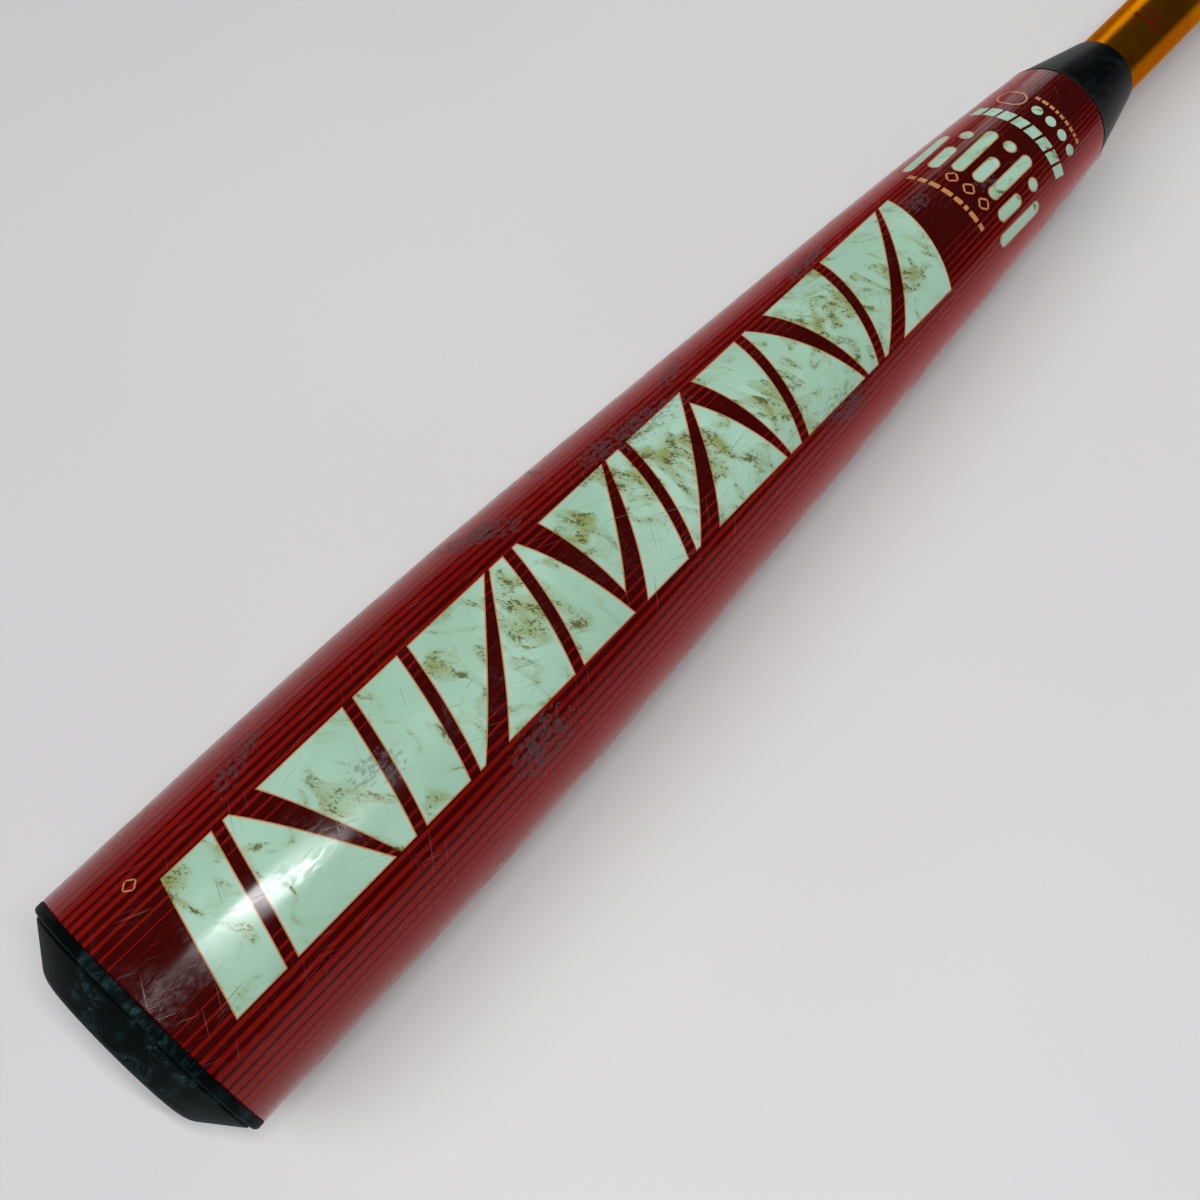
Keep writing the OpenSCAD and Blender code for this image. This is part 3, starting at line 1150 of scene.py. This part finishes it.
@dataclass(frozen=True)
class FilmCutter:
    """Cuts patches out of a fine flat grid and wraps them round the barrel."""

    form: BarrelForm | HandleForm
    lift: float = 0.06
    mesh: float = 1.6
    margin: float = 0.2

    def flat(self, patch: Patch, bm: bmesh.types.BMesh) -> None:
        """Adds one patch to a mesh, its ink on material 0 and its outline on material 1.

        Args:
            patch: The flat patch.
            bm: The mesh that takes it.
        """
        size = patch.high - patch.low
        counts = [max(2, round(extent / self.mesh)) for extent in (size.x, size.y)]
        place = (Matrix.Translation((patch.low + patch.high) / 2)
                 @ Matrix.Diagonal((size.x / 2 + self.margin, size.y / 2 + self.margin, 1, 1)))
        grid = bmesh.ops.create_grid(bm, x_segments=counts[0], y_segments=counts[1], size=1,
                                     matrix=place)
        geom = {*grid["verts"]}
        for vert in grid["verts"]:
            geom.update(vert.link_edges)
            geom.update(vert.link_faces)
        geom = list(geom)
        for cut in patch.cuts:
            geom = bmesh.ops.bisect_plane(bm, geom=geom, dist=1e-4, plane_co=cut.at, plane_no=cut.out,
                                          clear_outer=True)["geom"]
        if not patch.border:
            return
        for cut in patch.cuts:
            geom = bmesh.ops.bisect_plane(bm, geom=geom, dist=1e-4,
                                          plane_co=cut.at - cut.out * patch.border,
                                          plane_no=cut.out)["geom"]
        faces = [part for part in geom if isinstance(part, bmesh.types.BMFace)]
        inside = []
        for face in faces:
            middle = face.calc_center_median()
            depth = max((middle - cut.at).dot(cut.out) for cut in patch.cuts)
            face.material_index = int(depth > -patch.border)
            inside += [face] if depth <= -patch.border else []
        if patch.hollow:
            bmesh.ops.delete(bm, geom=inside, context="FACES")

    def wrap(self, patches: Iterable[Patch], side: float) -> bmesh.types.BMesh:
        """Cuts all patches and lays them on the form, centred on a turn.

        Args:
            patches: The flat patches.
            side: The turn of their middle line, in degrees.

        Returns:
            The wrapped mesh, in the bat's space.
        """
        bm = bmesh.new()
        for patch in patches:
            self.flat(patch, bm)
        bmesh.ops.remove_doubles(bm, verts=bm.verts, dist=1e-3)
        for vert in bm.verts:
            z, y, _ = vert.co
            form = self.form.outer(z)
            turn = math.radians(side) + y / form
            radius = form + self.lift
            vert.co = (radius * math.cos(turn), radius * math.sin(turn), z)
        bmesh.ops.reverse_faces(bm, faces=bm.faces)
        for face in bm.faces:
            face.smooth = True
        return bm


@dataclass(frozen=True)
class PrintRow:
    """The big printed row: slanted bars and wedges that point round the barrel."""

    start: float = 15.2
    half_width: float = 16.5
    gap: float = 3.0
    open_slit: float = 7.5
    closed_slit: float = 1.4
    slant: float = 0.267
    blunt: float = 5.5
    outline: float = 0.32
    blocks: tuple[tuple[float, int], ...] = (
        (14, 1), (35, 2), (14, 1), (32, 2), (39, 3), (44, 3), (32, 2), (33, 2))

    def slanted(self, along: float, across: float) -> Point:
        """A point of the row with its slant."""
        return along - across * self.slant, across

    def wedges(self, start: float, length: float, count: int, up: int) -> list[Patch]:
        """Splits one block into wedges by tapered slits that zigzag across it.

        Args:
            start: Where the block begins along the bat.
            length: Its length.
            count: How many wedges it has.
            up: 1 or -1, the side on which the first slit is open.

        Returns:
            One patch for each wedge.
        """
        w = self.half_width * up
        reach = length - 2 * self.blunt
        stops = [start + self.blunt + reach * i / max(count - 1, 1) for i in range(count)]
        before = (start, start)
        shapes = []
        for i in range(count):
            open_first = i % 2 == 0
            low, high = (stops[i], stops[min(i + 1, count - 1)])[::1 if open_first else -1]
            ends = (self.open_slit / 2, self.closed_slit / 2)[::1 if open_first else -1]
            after = (low - ends[0], high - ends[1]) if i < count - 1 else (start + length,) * 2
            corners = self.trimmed([(before[0], -w), (after[0], -w), (after[1], w), (before[1], w)])
            if up < 0:
                corners.reverse()
            shapes.append(quad([self.slanted(*corner) for corner in corners], self.outline))
            before = (low + ends[0], high + ends[1])
        return shapes

    @staticmethod
    def trimmed(corners: list[Point]) -> list[Point]:
        """Ends a wedge in a point where its two slanted sides have crossed.

        Args:
            corners: The wedge's four corners.

        Returns:
            The same corners, or three where the sides cross.
        """
        (x0, y0), (x1, y1), (x2, y2), (x3, y3) = corners
        if x0 < x1 and x3 < x2:
            return corners
        low, high = x1 - x0, x2 - x3
        part = low / (low - high)
        tip = (x0 + (x3 - x0) * part, y0 + (y3 - y0) * part)
        return [tip, (x2, y2), (x3, y3)] if low < 0 else [(x0, y0), (x1, y1), tip]

    def patches(self) -> list[Patch]:
        """Every wedge of the row.

        Returns:
            One patch for each wedge.
        """
        shapes, here, up = [], self.start, 1
        for length, count in self.blocks:
            shapes += self.wedges(here, length, count, up)
            here += length + self.gap
            up = -up if count > 1 else up
        return shapes


@dataclass(frozen=True)
class ThroatPrint:
    """Small print near the collar: rows of dashes, an arc of rounded bars and a plain oval."""

    seed: int = 11
    bar_gap: float = 6.4
    bar_width: float = 4.2
    bar_outline: float = 0.4
    bow: float = 0.035
    block_gap: float = 4.7
    disc_gap: float = 5.2

    def dashes(self, z: float, low: float, high: float, height: float, longest: float) -> list[Patch]:
        """A row of short dashes round the bat, of uneven length.

        Args:
            z: The middle of the row along the bat.
            low: Where it starts, in millimetres round the bat.
            high: Where it ends.
            height: The height of a dash.
            longest: The length of the longest dash.

        Returns:
            One patch for each dash.
        """
        pick = random.Random(self.seed + round(z))
        made, here = [], low
        while here < high - height:
            size = longest * pick.choice((0.4, 0.6, 0.8, 1.0))
            end = min(here + size, high)
            made.append(quad([(z - height / 2, here), (z + height / 2, here),
                              (z + height / 2, end), (z - height / 2, end)]))
            here = end + height * 0.55
        return made

    def bars(self) -> list[Patch]:
        """Rounded bars side by side, long and short in turn, with a dot over each short one.

        Returns:
            One patch for each bar and dot.
        """
        shapes = []
        for i in range(-3, 4):
            y = i * self.bar_gap - 1.5
            lower = self.bow * y * y / 2
            stack = ((317, 22, self.bar_width),) if i % 2 else ((312, 12, self.bar_width),
                                                                (325, 4.4, 4.4))
            shapes += [pill(x - lower, y, length, width, border=self.bar_outline)
                       for x, length, width in stack]
        return shapes

    def slanted_row(self) -> list[Patch]:
        """A small row of slanted blocks round the bat."""
        starts = [-21 + self.block_gap * i for i in range(8)]
        return [quad([(333.4, y), (337.8, y + 0.9), (337.8, y + 4.7), (333.4, y + 3.8)]) for y in starts]

    def mint(self) -> list[Patch]:
        """What is printed in mint."""
        discs = [pill(343.9, 1.5 + self.disc_gap * i, 3.6, 3.6) for i in range(-1, 3)]
        return self.bars() + self.slanted_row() + discs

    def peach(self) -> list[Patch]:
        """What is printed in peach: two rows of dashes, the diamonds and the oval.

        Returns:
            One patch for each mark.
        """
        diamonds = [pill(302, y, 3.6, 3.6, 45, 0.6, hollow=True, sides=4) for y in (-7, -1, 5)]
        oval = pill(345, -13, 9.5, 7.5, turn=90, border=0.55, hollow=True)
        low_row = self.dashes(296, -18, 12, 1.7, 3.4)
        return [*low_row, *diamonds, oval, *self.dashes(348.6, -7, 13.5, 1.3, 2.6)]


# ---------------------------------------------------------------- sub-assemblies


@dataclass
class Barrel:
    """The painted shell with its print."""

    form: BarrelForm = BarrelForm()
    ring: float = 2.0
    row: PrintRow = PrintRow()
    throat: ThroatPrint = ThroatPrint()
    lathe: Lathe = field(default_factory=lambda: Lathe(216))

    def on_form(self, co: Vector) -> Vector:
        """True normal of the outer form at a point."""
        out = Vector((co.x, co.y, 0)).normalized()
        return (out + Vector((0, 0, -self.form.slope(co.z)))).normalized()

    def build(self, finishes: Finishes) -> list[bpy.types.Object]:
        """Makes the shell and the films on it.

        Args:
            finishes: The materials.

        Returns:
            The new objects.
        """
        form = self.form
        outer = [(form.outer(z), z) for z in spaced(form.edge, form.length - form.edge, self.ring)]
        inner = [(form.inner(z), z) for z in spaced(form.length, 0, 4 * self.ring)]
        profile = [(form.radius - form.edge, 0), *outer, (form.throat - form.edge, form.length),
                   *inner]
        bm = self.lathe.turn(profile)
        for face in bm.faces:
            middle = face.calc_center_median()
            face.material_index = int(face.normal.dot(Vector((middle.x, middle.y, 0))) < 0)
        smooth_but_corners(bm)
        skin = publish("barrel_skin", bm, [finishes.paint, finishes.weave],
                       ["barrel_shell"])
        return [skin, *self.print_side(Side.FRONT, finishes), *self.print_side(Side.BACK, finishes)]

    def print_side(self, side: Side, finishes: Finishes) -> list[bpy.types.Object]:
        """Lays the printed films of one side.

        Args:
            side: Which side.
            finishes: The materials.

        Returns:
            The new objects.
        """
        film = FilmCutter(self.form)
        prefix = side.name.lower()
        inks = [finishes.mint, finishes.peach]
        tag = [pill(14.5, -21, 3.0, 3.0, 45, 0.4, hollow=True, sides=4)]
        films = (("blocks", self.row.patches(), inks), ("bars", self.throat.mint(), inks),
                 ("dashes", self.throat.peach() + tag, [finishes.peach] * 2))
        return [publish(f"{prefix}_{name}", film.wrap(patches, side.value), used,
                        normal=self.on_form) for name, patches, used in films]


@dataclass
class EndCap:
    """The moulded cap with its flat face, bevel, groove and lip."""

    radius: float = 34.5
    height: float = 10.8
    face: float = 22.0
    lip: float = 2.6
    groove: float = 0.6
    lip_round: float = 1.1
    skirt: float = 31.6
    skirt_length: float = 14.0
    pot: float = 24.0
    pot_draft: float = 1.5
    pot_depth: float = 6.0
    face_round: float = 2.2
    groove_round: float = 0.35
    rim_round: float = 1.0
    seat_round: float = 0.3
    skirt_round: float = 0.8
    lathe: Lathe = field(default_factory=lambda: Lathe(180))

    def build(self, finishes: Finishes) -> list[bpy.types.Object]:
        """Makes the cap.

        Args:
            finishes: The materials.

        Returns:
            The new objects.
        """
        bevel_end = self.radius - self.lip_round - self.groove
        profile = [(0, -self.height), (self.face, -self.height), (bevel_end, -self.lip - self.groove),
                   (bevel_end - self.groove / 2, -self.lip), (self.radius, -self.lip), (self.radius, 0),
                   (self.skirt, 0), (self.skirt, self.skirt_length),
                   (self.pot + self.pot_draft, self.skirt_length), (self.pot, -self.pot_depth),
                   (0, -self.pot_depth)]
        rounds = {1: self.face_round, 2: self.groove_round, 4: self.rim_round, 5: self.seat_round,
                  7: self.skirt_round}
        bm = self.lathe.turn(profile, closed=False, rounds=rounds)
        smooth_but_corners(bm)
        return [publish("cap_moulding", bm, [finishes.cap], ["end_cap"])]


@dataclass
class Collar:
    """The rubber cone between the barrel and the handle, with its mould line."""

    form: HandleForm = HandleForm()
    start: float = 364.0
    length: float = 28.0
    wide: float = 18.5
    tip: float = 12.1
    edge: float = 0.35
    line_turns: tuple[float, ...] = (27.0, 207.0)
    line_height: float = 0.12
    line_width: float = 0.9
    bore_margin: float = 0.2
    lathe: Lathe = field(default_factory=lambda: Lathe(240))

    def build(self, finishes: Finishes) -> list[bpy.types.Object]:
        """Makes the cone and raises its mould lines.

        Args:
            finishes: The materials.

        Returns:
            The new objects.
        """
        end = self.start + self.length
        outer = [(self.wide - self.edge, self.start), (self.wide, self.start + self.edge)]
        outer += [(self.wide + (self.tip - self.wide) * (z - self.start) / self.length, z)
                  for z in spaced(self.start + 1, end - self.edge, 1)]
        inner = [(self.form.outer(z), z) for z in spaced(end, self.start, 2)]
        bm = self.lathe.turn([*outer, (self.tip - self.edge, end), *inner])
        for vert in bm.verts:
            radius = math.hypot(vert.co.x, vert.co.y)
            if radius < self.form.outer(vert.co.z) + self.bore_margin:
                continue
            turn = math.atan2(vert.co.y, vert.co.x)
            for line in self.line_turns:
                away = math.remainder(turn - math.radians(line), FULL_TURN) * radius
                lift = self.line_height * math.exp(-(away / self.line_width) ** 2)
                vert.co.xy *= 1 + lift / radius
        smooth_but_corners(bm)
        return [publish("collar_cone", bm, [finishes.collar], ["transition_collar"])]


@dataclass
class Handle:
    """The lacquered tube, the wound grip and the finishing tape."""

    form: HandleForm = HandleForm()
    start: float = 300.0
    socket_floor: float = 5.0
    grip_top: float = 523.2
    grip_bottom: float = 808.2
    underlay: float = 0.35
    strip: float = 0.8
    width: float = 25.0
    pitch: float = 21.0
    ramp: float = 1.2
    strip_round: float = 0.3
    steps: int = 72
    band_start: float = 514.2
    band_end: float = 533.2
    band_thickness: float = 0.3
    band_step: float = 3.0
    seed: int = 5
    lathe: Lathe = field(default_factory=lambda: Lathe(144))

    def build(self, finishes: Finishes) -> list[bpy.types.Object]:
        """Makes the tube, the grip and the tape."""
        return [*self.tube(finishes), self.grip(finishes), self.band(finishes)]

    def tube(self, finishes: Finishes) -> list[bpy.types.Object]:
        """Makes the tube with its flared end, and the two rows of dashes on it.

        Args:
            finishes: The materials.

        Returns:
            The new objects.
        """
        throat = self.form.barrel.length
        bends = spaced(self.start, throat, 4)
        bends += spaced(throat, throat + self.form.flare_run, 1.5)[1:]
        zs = [*bends, *spaced(bends[-1], self.form.knob_end - self.socket_floor, 12)[1:]]
        outer = [(self.form.outer(z), z) for z in zs]
        inner = [(radius - self.form.wall, z) for radius, z in reversed(outer)]
        bm = self.lathe.turn([*outer, *inner])
        smooth_but_corners(bm)
        tube = publish("handle_lacquered", bm, [finishes.handle], ["handle_tube"])
        dashes = [*ThroatPrint(3).dashes(412, -5.5, 5.5, 1.6, 2.6),
                  *ThroatPrint(4).dashes(416, -5, 5, 1.0, 2.0)]
        film = FilmCutter(self.form, lift=0.05, mesh=0.8).wrap(dashes, Side.FRONT.value)
        return [tube, publish("handle_dashes", film, [finishes.dark_red])]

    def grip(self, finishes: Finishes) -> bpy.types.Object:
        """Winds the strip from the knob up, each turn over the upper edge of the one below.

        Args:
            finishes: The materials.

        Returns:
            The new object.
        """
        overlap = self.width - self.pitch
        base = self.form.radius + self.underlay
        first_edge = self.grip_bottom + self.pitch + 1
        below = [(base + self.strip, 0), (base + self.strip, overlap), (base, overlap + self.ramp),
                 (base, self.width)]
        above = [(radius + self.strip, along) for radius, along in reversed(below)]
        bm = bmesh.new()
        points = [bm.verts.new((radius, 0, first_edge - along)) for radius, along in below + above]
        for a, b in zip(points, points[1:] + points[:1]):
            bm.edges.new((a, b))
        for outer_corner in (points[4], points[7]):
            bmesh.ops.bevel(bm, geom=[outer_corner], offset=self.strip_round, segments=3, profile=0.5,
                            affect="VERTICES", material=-1)
        turns = math.ceil((self.grip_bottom - self.grip_top + self.width) / self.pitch) + 1
        bmesh.ops.spin(bm, geom=bm.verts[:] + bm.edges[:], cent=(0, 0, 0), axis=(0, 0, 1),
                       dvec=(0, 0, -self.pitch / self.steps), angle=FULL_TURN * (turns + 1),
                       steps=self.steps * (turns + 1), use_merge=False, use_duplicate=False)
        for limit, out in ((self.grip_bottom, 1), (self.grip_top, -1)):
            cut = bmesh.ops.bisect_plane(bm, geom=bm.verts[:] + bm.edges[:] + bm.faces[:], dist=1e-4,
                                         plane_co=(0, 0, limit), plane_no=(0, 0, out),
                                         clear_outer=True)
            rim = [part for part in cut["geom_cut"] if isinstance(part, bmesh.types.BMEdge)]
            bmesh.ops.holes_fill(bm, edges=rim, sides=0)
        bmesh.ops.recalc_face_normals(bm, faces=bm.faces)
        for vert in bm.verts:
            radius = math.hypot(vert.co.x, vert.co.y)
            vert.co.xy *= 1 + (self.form.seat(vert.co.z) - self.form.radius) / radius
        smooth_but_corners(bm, 40)
        piece = publish("grip_wrap", bm, [finishes.leather], ["grip_tape"])
        return piece

    def band(self, finishes: Finishes) -> bpy.types.Object:
        """Makes the finishing tape, which steps up onto the grip and has pulled, uneven edges.

        Args:
            finishes: The materials.

        Returns:
            The new object.
        """
        pick = random.Random(self.seed)
        waves = [(pick.randint(2, 9), pick.uniform(0, FULL_TURN), pick.uniform(0.1, 0.3))
                 for _ in range(5)]
        tight = self.form.radius + 0.02
        over_grip = self.form.radius + self.underlay + 2 * self.strip + 0.06

        def radius_at(z: float) -> float:
            """Inner radius of the tape at z."""
            part = min(max((z - self.grip_top) / self.band_step + 0.5, 0), 1)
            return tight + (over_grip - tight) * (3 * part**2 - 2 * part**3)

        zs = spaced(self.band_start, self.band_end, 0.7)
        inner = [(radius_at(z), z) for z in zs]
        outer = [(radius + self.band_thickness, z) for radius, z in inner]
        bm = self.lathe.turn([*outer, *reversed(inner)])
        for vert in bm.verts:
            turn = math.atan2(vert.co.y, vert.co.x)
            wave = sum(size * math.sin(count * turn + phase) for count, phase, size in waves)
            edge = (vert.co.z - self.band_start) / (self.band_end - self.band_start)
            vert.co.z += wave * (2 * edge - 1) ** 4
        smooth_but_corners(bm, 40)
        return publish("grip_finish_tape", bm, [finishes.vinyl], ["grip_band"])


@dataclass
class Knob:
    """The turned knob and the badge in its end."""

    form: HandleForm = HandleForm()
    rim: float = 25.0
    rim_round: float = 5.5
    rim_turn: float = 50.0
    length: float = 26.0
    grip_start: float = 21.0
    badge: float = 16.8
    badge_depth: float = 0.9
    badge_round: float = 0.5
    proud: float = 0.2
    socket: float = 10.9
    socket_floor: float = 5.0
    lathe: Lathe = field(default_factory=lambda: Lathe(144))

    def from_end(self, points: Profile) -> list[Point]:
        """Profile points measured from the knob's end, in the bat's space."""
        return [(radius, self.form.knob_end - z) for radius, z in points]

    def build(self, finishes: Finishes) -> list[bpy.types.Object]:
        """Makes the knob and its badge.

        Args:
            finishes: The materials.

        Returns:
            The new objects.
        """
        centre = Vector((self.rim - self.rim_round, self.rim_round + self.proud))

        def rim_at(angle: float) -> Vector:
            """Point of the rounded rim at an angle in degrees."""
            a = math.radians(angle)
            return centre + self.rim_round * Vector((math.cos(a), math.sin(a)))

        last = rim_at(self.rim_turn)
        neck = Vector((self.form.neck, self.grip_start))
        rise = (last.x - self.form.neck) / math.tan(math.radians(self.rim_turn))
        flank = Vector((self.form.neck, last.y + rise))
        throat = [(1 - t) ** 2 * neck + 2 * t * (1 - t) * flank + t**2 * last
                  for t in spaced(0, 0.95, 0.05)]
        rounded = [rim_at(angle) for angle in spaced(self.rim_turn, -90, 7)]
        outer = [(self.form.neck, self.length), *[tuple(p) for p in throat + rounded],
                 (self.badge, self.proud), (self.badge, self.badge_depth)]
        socket = [(0, self.badge_depth), (0, self.socket_floor), (self.socket, self.socket_floor),
                  (self.socket, self.length)]
        bm = self.lathe.turn(self.from_end(outer + socket))
        smooth_but_corners(bm)
        knob = publish("knob_turned", bm, [finishes.black], ["knob"])
        disc = [(0, self.badge_depth), (self.badge, self.badge_depth), (self.badge, self.proud),
                (0, 0)]
        bm = self.lathe.turn(self.from_end(disc), closed=False, rounds={2: self.badge_round})
        smooth_but_corners(bm)
        return [knob, publish("knob_badge_disc", bm, [finishes.badge], ["knob_badge"])]


@dataclass
class InnerPieces:
    """The CAD nodes that stay: each keeps its shape and gets its finish."""

    def build(self, finishes: Finishes) -> list[bpy.types.Object]:
        """Gives every kept node its material.

        Args:
            finishes: The materials.

        Returns:
            The kept objects.
        """
        kept = {"inner_wall": finishes.weave, "end_cap_weight": finishes.weight,
                "end_cap_adhesive": finishes.glue, "joint_sleeve": finishes.sleeve,
                "joint_adhesive": finishes.glue, "handle_plug": finishes.foam,
                "knob_weld": finishes.bare, "knob_weight": finishes.bare,
                "grip_underlay": finishes.cloth}
        for name, finish in kept.items():
            node = bpy.data.objects[name]
            for place in node.material_slots:
                place.link = "OBJECT"
                place.material = finish
        return [bpy.data.objects[name] for name in kept]


# ---------------------------------------------------------------- studio


@dataclass
class Studio:
    """Table, lights and camera."""

    camera_z: float = 11.6
    camera_radius: float = 341.7
    camera_turn: float = 20.1
    azimuth: float = 311.2
    elevation: float = 62.3
    lens: float = 42.65
    table: float = 6.0
    walls: str = "#f6f6f8"
    room: float = 0.08
    backdrop: float = 0.74
    window: float = 2.05
    window_spread: float = 55.0

    def build(self, finishes: Finishes) -> None:
        """Sets up the studio.

        Args:
            finishes: The materials.
        """
        self.place_camera()
        self.lay_table(finishes)
        self.light()
        bpy.context.scene.view_settings.view_transform = "Standard"

    def place_camera(self) -> None:
        """Puts the camera close over the end cap, level, looking up the barrel."""
        data = bpy.data.cameras.new("camera")
        data.lens, data.sensor_width, data.clip_start = self.lens, 36, 0.02
        camera = bpy.data.objects.new("camera", data)
        a, e = math.radians(self.azimuth), math.radians(self.elevation)
        look = Vector((-math.sin(a) * math.cos(e), math.cos(a) * math.cos(e), -math.sin(e)))
        camera.location = SPACE.point(self.camera_z, self.camera_radius, self.camera_turn)
        camera.rotation_euler = look.to_track_quat("-Z", "Y").to_euler()
        bpy.context.scene.collection.objects.link(camera)
        bpy.context.scene.camera = camera

    def lay_table(self, finishes: Finishes) -> None:
        """Lays the pale table top that the bat rests on.

        Args:
            finishes: The materials.
        """
        bm = bmesh.new()
        bmesh.ops.create_circle(bm, cap_ends=True, segments=96, radius=self.table)
        mesh = bpy.data.meshes.new("table_top")
        bm.to_mesh(mesh)
        bm.free()
        mesh.materials.append(finishes.floor)
        top = bpy.data.objects.new("table_top", mesh)
        bpy.context.scene.collection.objects.link(top)

    def hang(self, data: bpy.types.Light, place: Vector, aim: Vector) -> None:
        """Hangs a light that the camera doesn't see.

        Args:
            data: The light.
            place: Where it hangs.
            aim: What it points at.
        """
        lamp = bpy.data.objects.new(data.name, data)
        lamp.location = place
        lamp.rotation_euler = (aim - place).to_track_quat("-Z", "X").to_euler()
        lamp.visible_camera = False
        bpy.context.scene.collection.objects.link(lamp)

    def lamp(self, name: str, place: Vector, aim: Vector, size: tuple[float, float],
             power: float) -> None:
        """Adds a soft rectangular lamp.

        Args:
            name: The lamp's name.
            place: Where it stands.
            aim: What it points at.
            size: Its width and length in metres.
            power: Its power in watts.
        """
        data = bpy.data.lights.new(name, "AREA")
        data.shape, data.size, data.size_y = "RECTANGLE", *size
        data.energy = power
        self.hang(data, place, aim)

    def light(self) -> None:
        """Hangs the lamps clear of the directions that the barrel mirrors, but for one dim strip."""
        middle = Vector((-0.15, 0, 0))
        sky = bpy.data.lights.new("cap_end_window", "SUN")
        sky.energy, sky.angle = self.window, math.radians(self.window_spread)
        self.hang(sky, Vector((-2.2, 0.35, 3.2)), middle)
        self.lamp("front_fill", Vector((-2.2, -2.5, 2.0)), middle, (1.8, 1.8), 7)
        self.lamp("knob_end_lamp", Vector((2.6, 1.7, 0.4)), middle, (1.8, 0.7), 7)
        self.lamp("overhead_strip", SPACE.point(130, 1300, 18), SPACE.point(60, 0, 0), (0.5, 0.05),
                  7.6)
        self.surround()

    def surround(self) -> None:
        """Makes a dim room that shows as a pale backdrop."""
        world = bpy.data.worlds.new("surroundings")
        bpy.context.scene.world = world
        world.use_nodes = True
        nodes = Nodes(world.node_tree)
        seen = nodes.add(Kind.LIGHT_PATH).outputs["Is Camera Ray"]
        strength = nodes.add(Kind.RANGE, seen, 0.0, 1.0, self.room, self.backdrop)
        nodes.feed(world.node_tree.nodes["Background"], self.walls, strength)


def main() -> None:
    """Builds the bat from the barrel down and sets up the studio."""
    logging.basicConfig(level=logging.INFO, format="%(name)s: %(message)s")
    finishes = Finishes()
    for part in (Barrel(), EndCap(), Collar(), Handle(), Knob(), InnerPieces()):
        for piece in part.build(finishes):
            LOG.info("%s: %d faces", piece.name, len(piece.data.polygons))
    Studio().build(finishes)


if __name__ == "__main__":
    main()
